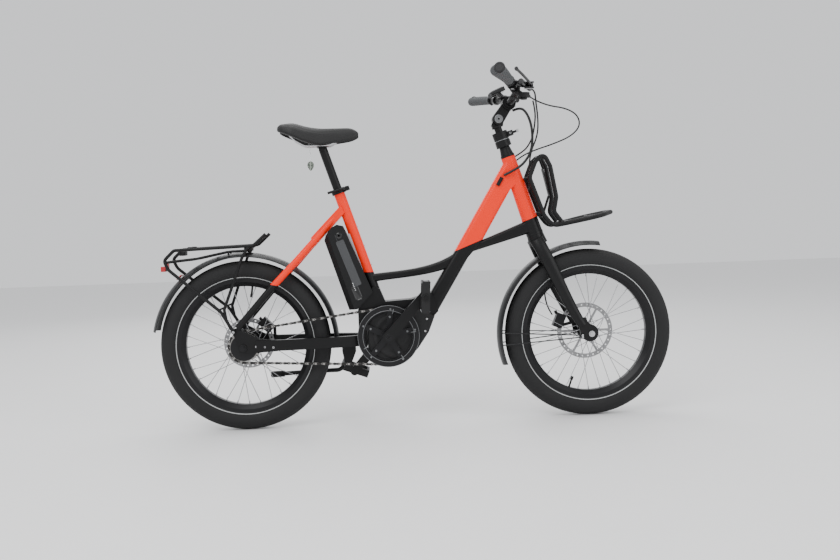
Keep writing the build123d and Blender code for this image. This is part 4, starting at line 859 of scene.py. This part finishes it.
lights.piece("batteryLights", "frame", clearWhite)

motor = Batch()
for y, way in ((-40.2, -1), (52.2, 1)):
    motor.turned(place(470, y, 282), (0, way, 0),
                 [(-2, 72), (1.6, 72), (3.2, 69), (3.2, 60), (1.8, 57), (1.8, 40), (3.4, 37), (3.4, 30)],
                 96)
for number in range(7):
    x = 548 + number * 4.4
    motor.tube([place(x, -36, 262 + number * 9.5), place(x, 48, 262 + number * 9.5)], 0.0022, 10)
sharpen(motor.piece("motorCovers", "frame", blackPlastic))

guard = Batch()
for radius, y, width in ((79.5, chainLine - 8.6, 0.0009), (95.2, chainLine - 8.6, 0.0008)):
    guard.tube([aboutY(crankAxle, radius, a, y) for a in np.linspace(0, 2 * math.pi, 121)], width, 8,
               capped=False)
for number in range(5):
    turnBy = math.radians(48.1 + 36 + 72 * number)
    guard.bolt(Vector(aboutY(crankAxle, 84, turnBy, chainLine - 9.0)), (0, -1, 0), 3.2, 1.6)
    guard.bolt(Vector(aboutY(crankAxle, 60, turnBy, chainLine - 1.6)), (0, -1, 0), 3.6, 1.8)
for angle in (-58, 8, 78, 205):
    turnBy = math.radians(angle)
    guard.tube([aboutY(crankAxle, out, turnBy, chainLine - 9.2) for out in (70.0, 78.0, 86.0)],
               0.0013, 8)
guard.piece("guardTrim", "crank", greyRing)
axleEnd = Batch()
axleEnd.turned(rearAxle + Vector((0, -0.0665, 0)), (0, -1, 0),
               [(0, 11.5), (1.4, 11.5), (2.4, 10.4), (8.0, 10.4), (9.0, 9.2), (9.0, 6.6), (8.2, 6.4)], 36)
sharpen(axleEnd.piece("rearAxleNut", "frame", silver))
cranks = Batch()
for way in (-1, 1):
    cranks.turned(crankAxle + Vector((0, way * 0.0895, 0)), (0, way, 0),
                  [(-1, 11), (0.8, 11), (1.4, 9.5), (1.4, 5), (-3, 4.6)], 32)
sharpen(cranks.piece("crankCaps", "crank", anodised))

for name, body, way in (("rightPedalGrip", "right_pedal", -1), ("leftPedalGrip", "left_pedal", 1)):
    low, high = (Vector(corner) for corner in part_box(body))
    centre = (low + high) / 2
    turnBy = math.radians(87 if way < 0 else -20)
    along = Vector((math.cos(turnBy), 0, math.sin(turnBy)))
    out = along.cross(acrossY)
    studs = Batch()
    for end in (-1, 1):
        for row in range(-3, 4):
            for face in (-1, 1):
                studs.turned(centre + along * end * 0.043 + acrossY * row * 0.011 + out * face * 0.0122,
                             out * face, [(-0.6, 1.9), (0.9, 1.5), (1.1, 0.7)], 10)
    sharpen(studs.piece(name, body, greyRing))
    lens = Batch()
    for end in (-1, 1):
        lens.block(centre + along * end * 0.0472, (acrossY, out, along), (56, 13, 1.6), 2)
    sharpen(lens.piece(name + "Reflectors", body, greyRing))
print("drive details done")

ring = Batch()
pivot = Vector(joints["stem_tilt"]["pos_m"])
for way in (-1, 1):
    ring.turned(pivot + acrossY * way * 0.0168, (0, way, 0),
                [(-0.4, 13.2), (1.2, 13.2), (1.8, 12.4), (1.8, 9.4), (0.6, 9.0), (0.6, 6.4),
                 (1.6, 6.0), (1.6, 3.2), (-1.0, 3.0)], 48)
sharpen(ring.piece("stemPivotRings", "bar", greyRing))
barBolts = Batch()
clampAt = place(845.2, 0, 991.2)
for y in (-16, 16):
    for height in (-1, 1):
        barBolts.bolt(clampAt + Vector((0.0195, y / 1000, height * 0.0085)), (1, 0, height * 0.3), 2.9, 2.4)
for side in (-1, 1):
    barBolts.bolt(barAt(side * 168, 2, 16), (0, 0, 1), 2.6, 2.0)
    barBolts.bolt(barAt(side * 148, 54, 10.2), (0, 0, 1), 3.4, 1.8)
    barBolts.bolt(barAt(side * 132, 41, 10), (0, 0, 1), 2.0, 1.4)
sharpen(barBolts.piece("barBolts", "bar", silver))
reservoir = Batch()
for side in (-1, 1):
    reservoir.block(barAt(side * 140, 40, 9.4), ((0, 1, 0), (1, 0, 0), (0, 0, 1)), (44, 15, 3.0), 4)
sharpen(reservoir.piece("reservoirCaps", "bar", blackPlastic))
collar = Batch()
collarFoot = 284
collar.turned(steering(collarFoot + 20.4), steerAxis, [(0, 21.6), (0.4, 22.4), (2.8, 22.4), (3.2, 21.6)], 56)
collar.bolt(steering(collarFoot + 34, 30, -13.2), (0, -1, 0), 4.2, 2.4)
collar.bolt(steering(collarFoot + 34, 30, 13.2), (0, 1, 0), 4.2, 2.4)
sharpen(collar.piece("collarRing", "fork_assembly", greyRing))
leverCap = Batch()
leverCap.block(steering(collarFoot + 34, 55), (steerFront, acrossY, steerAxis), (10, 14, 9.4), 3)
sharpen(leverCap.piece("collarLeverCap", "lifter_lever", silver))

screen = Batch()
facing = Vector((-0.39, 0, 0.92)).normalized()
uphill = acrossY.cross(facing)
displayAt = barAt(118, -24, 25)
screen.block(displayAt + facing * 0.0072 - acrossY * 0.0115, (acrossY, uphill, facing), (36, 38, 1.0), 3)
sharpen(screen.piece("displayGlass", "bar", glossBlack))
marks = Batch()
for row, size in ((-12, 16), (-4, 24), (6, 10)):
    marks.block(displayAt + facing * 0.0078 - acrossY * 0.0115 + uphill * row / 1000,
                (acrossY, uphill, facing), (size, 2.2, 0.5), 0.8)
marks.piece("displayMarks", "bar", greyRing)
buttons = Batch()
for lean in (-1, 1):
    spot = Vector(joints["assist_rocker_hinge"]["pos_m"]) + uphill * lean * 0.0085 + facing * 0.0032
    buttons.block(spot, (acrossY, uphill, facing), (6, 1.6, 0.6), 0.6)
    if lean > 0:
        buttons.block(spot, (acrossY, uphill, facing), (1.6, 6, 0.6), 0.6)
buttons.piece("rockerMarks", "assist_rocker", clearWhite)
print("bar details done")

rails = Batch()
for side in (-1, 1):
    rails.tube([place(-168, side * 30, 571), place(-160, side * 30, 577), place(-148, side * 30, 577),
                place(-140, side * 30, 571)], 0.0022, 10)
rails.block(place(-183, 0, 559), ((1, 0, 0), (0, 1, 0), (0, 0, 1)), (20, 40, 14), 4)
rails.block(place(20, 0, 567), ((1, 0, 0), (0, 1, 0), (0, 0, 1)), (26, 34, 14), 4)
sharpen(rails.piece("carrierFittings", "frame", blackPlastic))
carrierScrews = Batch()
for side in (-1, 1):
    carrierScrews.bolt(place(-26, side * 84.4, 316), (0, side, 0), 4.0, 2.6)
for height in (52, 165):
    carrierScrews.bolt(steering(height, 43.5), steerFront, 3.4, 2.4)
carrierScrews.bolt(place(20, 0, 574.5), (0, 0, 1), 3.2, 2.2)
sharpen(carrierScrews.piece("carrierScrews", "frame", silver))
plate = Batch()
plate.block(place(958, 0, 742), (Vector((0.23, 0, -0.97)), acrossY, Vector((0.97, 0, 0.23))),
            (92, 30, 2.6), 6)
plate.tube([place(938, 0, 822), place(951, 0, 784)], 0.004, 12)
plate.tube([place(966, 0, 700), place(946, 0, 642)], 0.004, 12)
sharpen(plate.piece("carrierPlate", "frame", blackSatin))

bead = {"arc": 278.2, "side": 33.6, "radius": 0.0014}
for name, body, axle, first, last, count in (
        ("rearGuardBeads", "frame", rearAxle, 3, 169, 90),
        ("frontGuardBeads", "fork_assembly", frontAxle, 82, 199, 70)):
    edges = Batch()
    for y in (-bead["side"], bead["side"]):
        edges.tube([aboutY(axle, bead["arc"], math.radians(a), y) for a in np.linspace(first, last, count)],
                   bead["radius"], 8)
    sharpen(edges.piece(name, body, guardBlack))
flap = Batch()
for angle in (150, 160):
    turnBy = math.radians(angle)
    flap.bolt(Vector(aboutY(frontAxle, 291.2, turnBy, 0)),
              Vector((math.cos(turnBy), 0, math.sin(turnBy))), 3.0, 1.4)
sharpen(flap.piece("frontGuardRivets", "fork_assembly", silver))

lightShell = Batch()
low, high = (Vector(corner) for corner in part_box("tail_light"))
lightShell.block(Vector((high.x - 0.0075, 0, (low.z + high.z) / 2 - 0.004)),
                 ((0, 1, 0), (0, 0, 1), (1, 0, 0)), (50, 14, 8), 3)
sharpen(lightShell.piece("lightHousing", "frame", blackPlastic))
reflector = Batch()
reflector.block(place(-196, 0, 486), (acrossY, Vector((0.74, 0, 0.67)), Vector((-0.67, 0, 0.74))),
                (38, 22, 5), 4)
sharpen(reflector.piece("guardReflector", "frame", redLens))

forkBolts = Batch()
for side in (-1, 1):
    for z in (256, 262):
        forkBolts.bolt(place(1050, side * 63, z), (0, side, 0), 3.6, 2.6)
for z in (312, 287):
    forkBolts.bolt(place(1018, 57, z), (0, 1, 0), 3.4, 2.4)
sharpen(forkBolts.piece("forkBolts", "fork_assembly", silver))

foot = Batch()
foot.tube([place(104, 87.5, 156), place(90, 89.5, 155.4), place(62, 93, 154), place(60.5, 93.2, 153.9)],
          [0.0098, 0.0102, 0.0102, 0.0075], 24)
foot.piece("kickstandFoot", "kickstand", darkRubber)
print("carrier and guard details done")
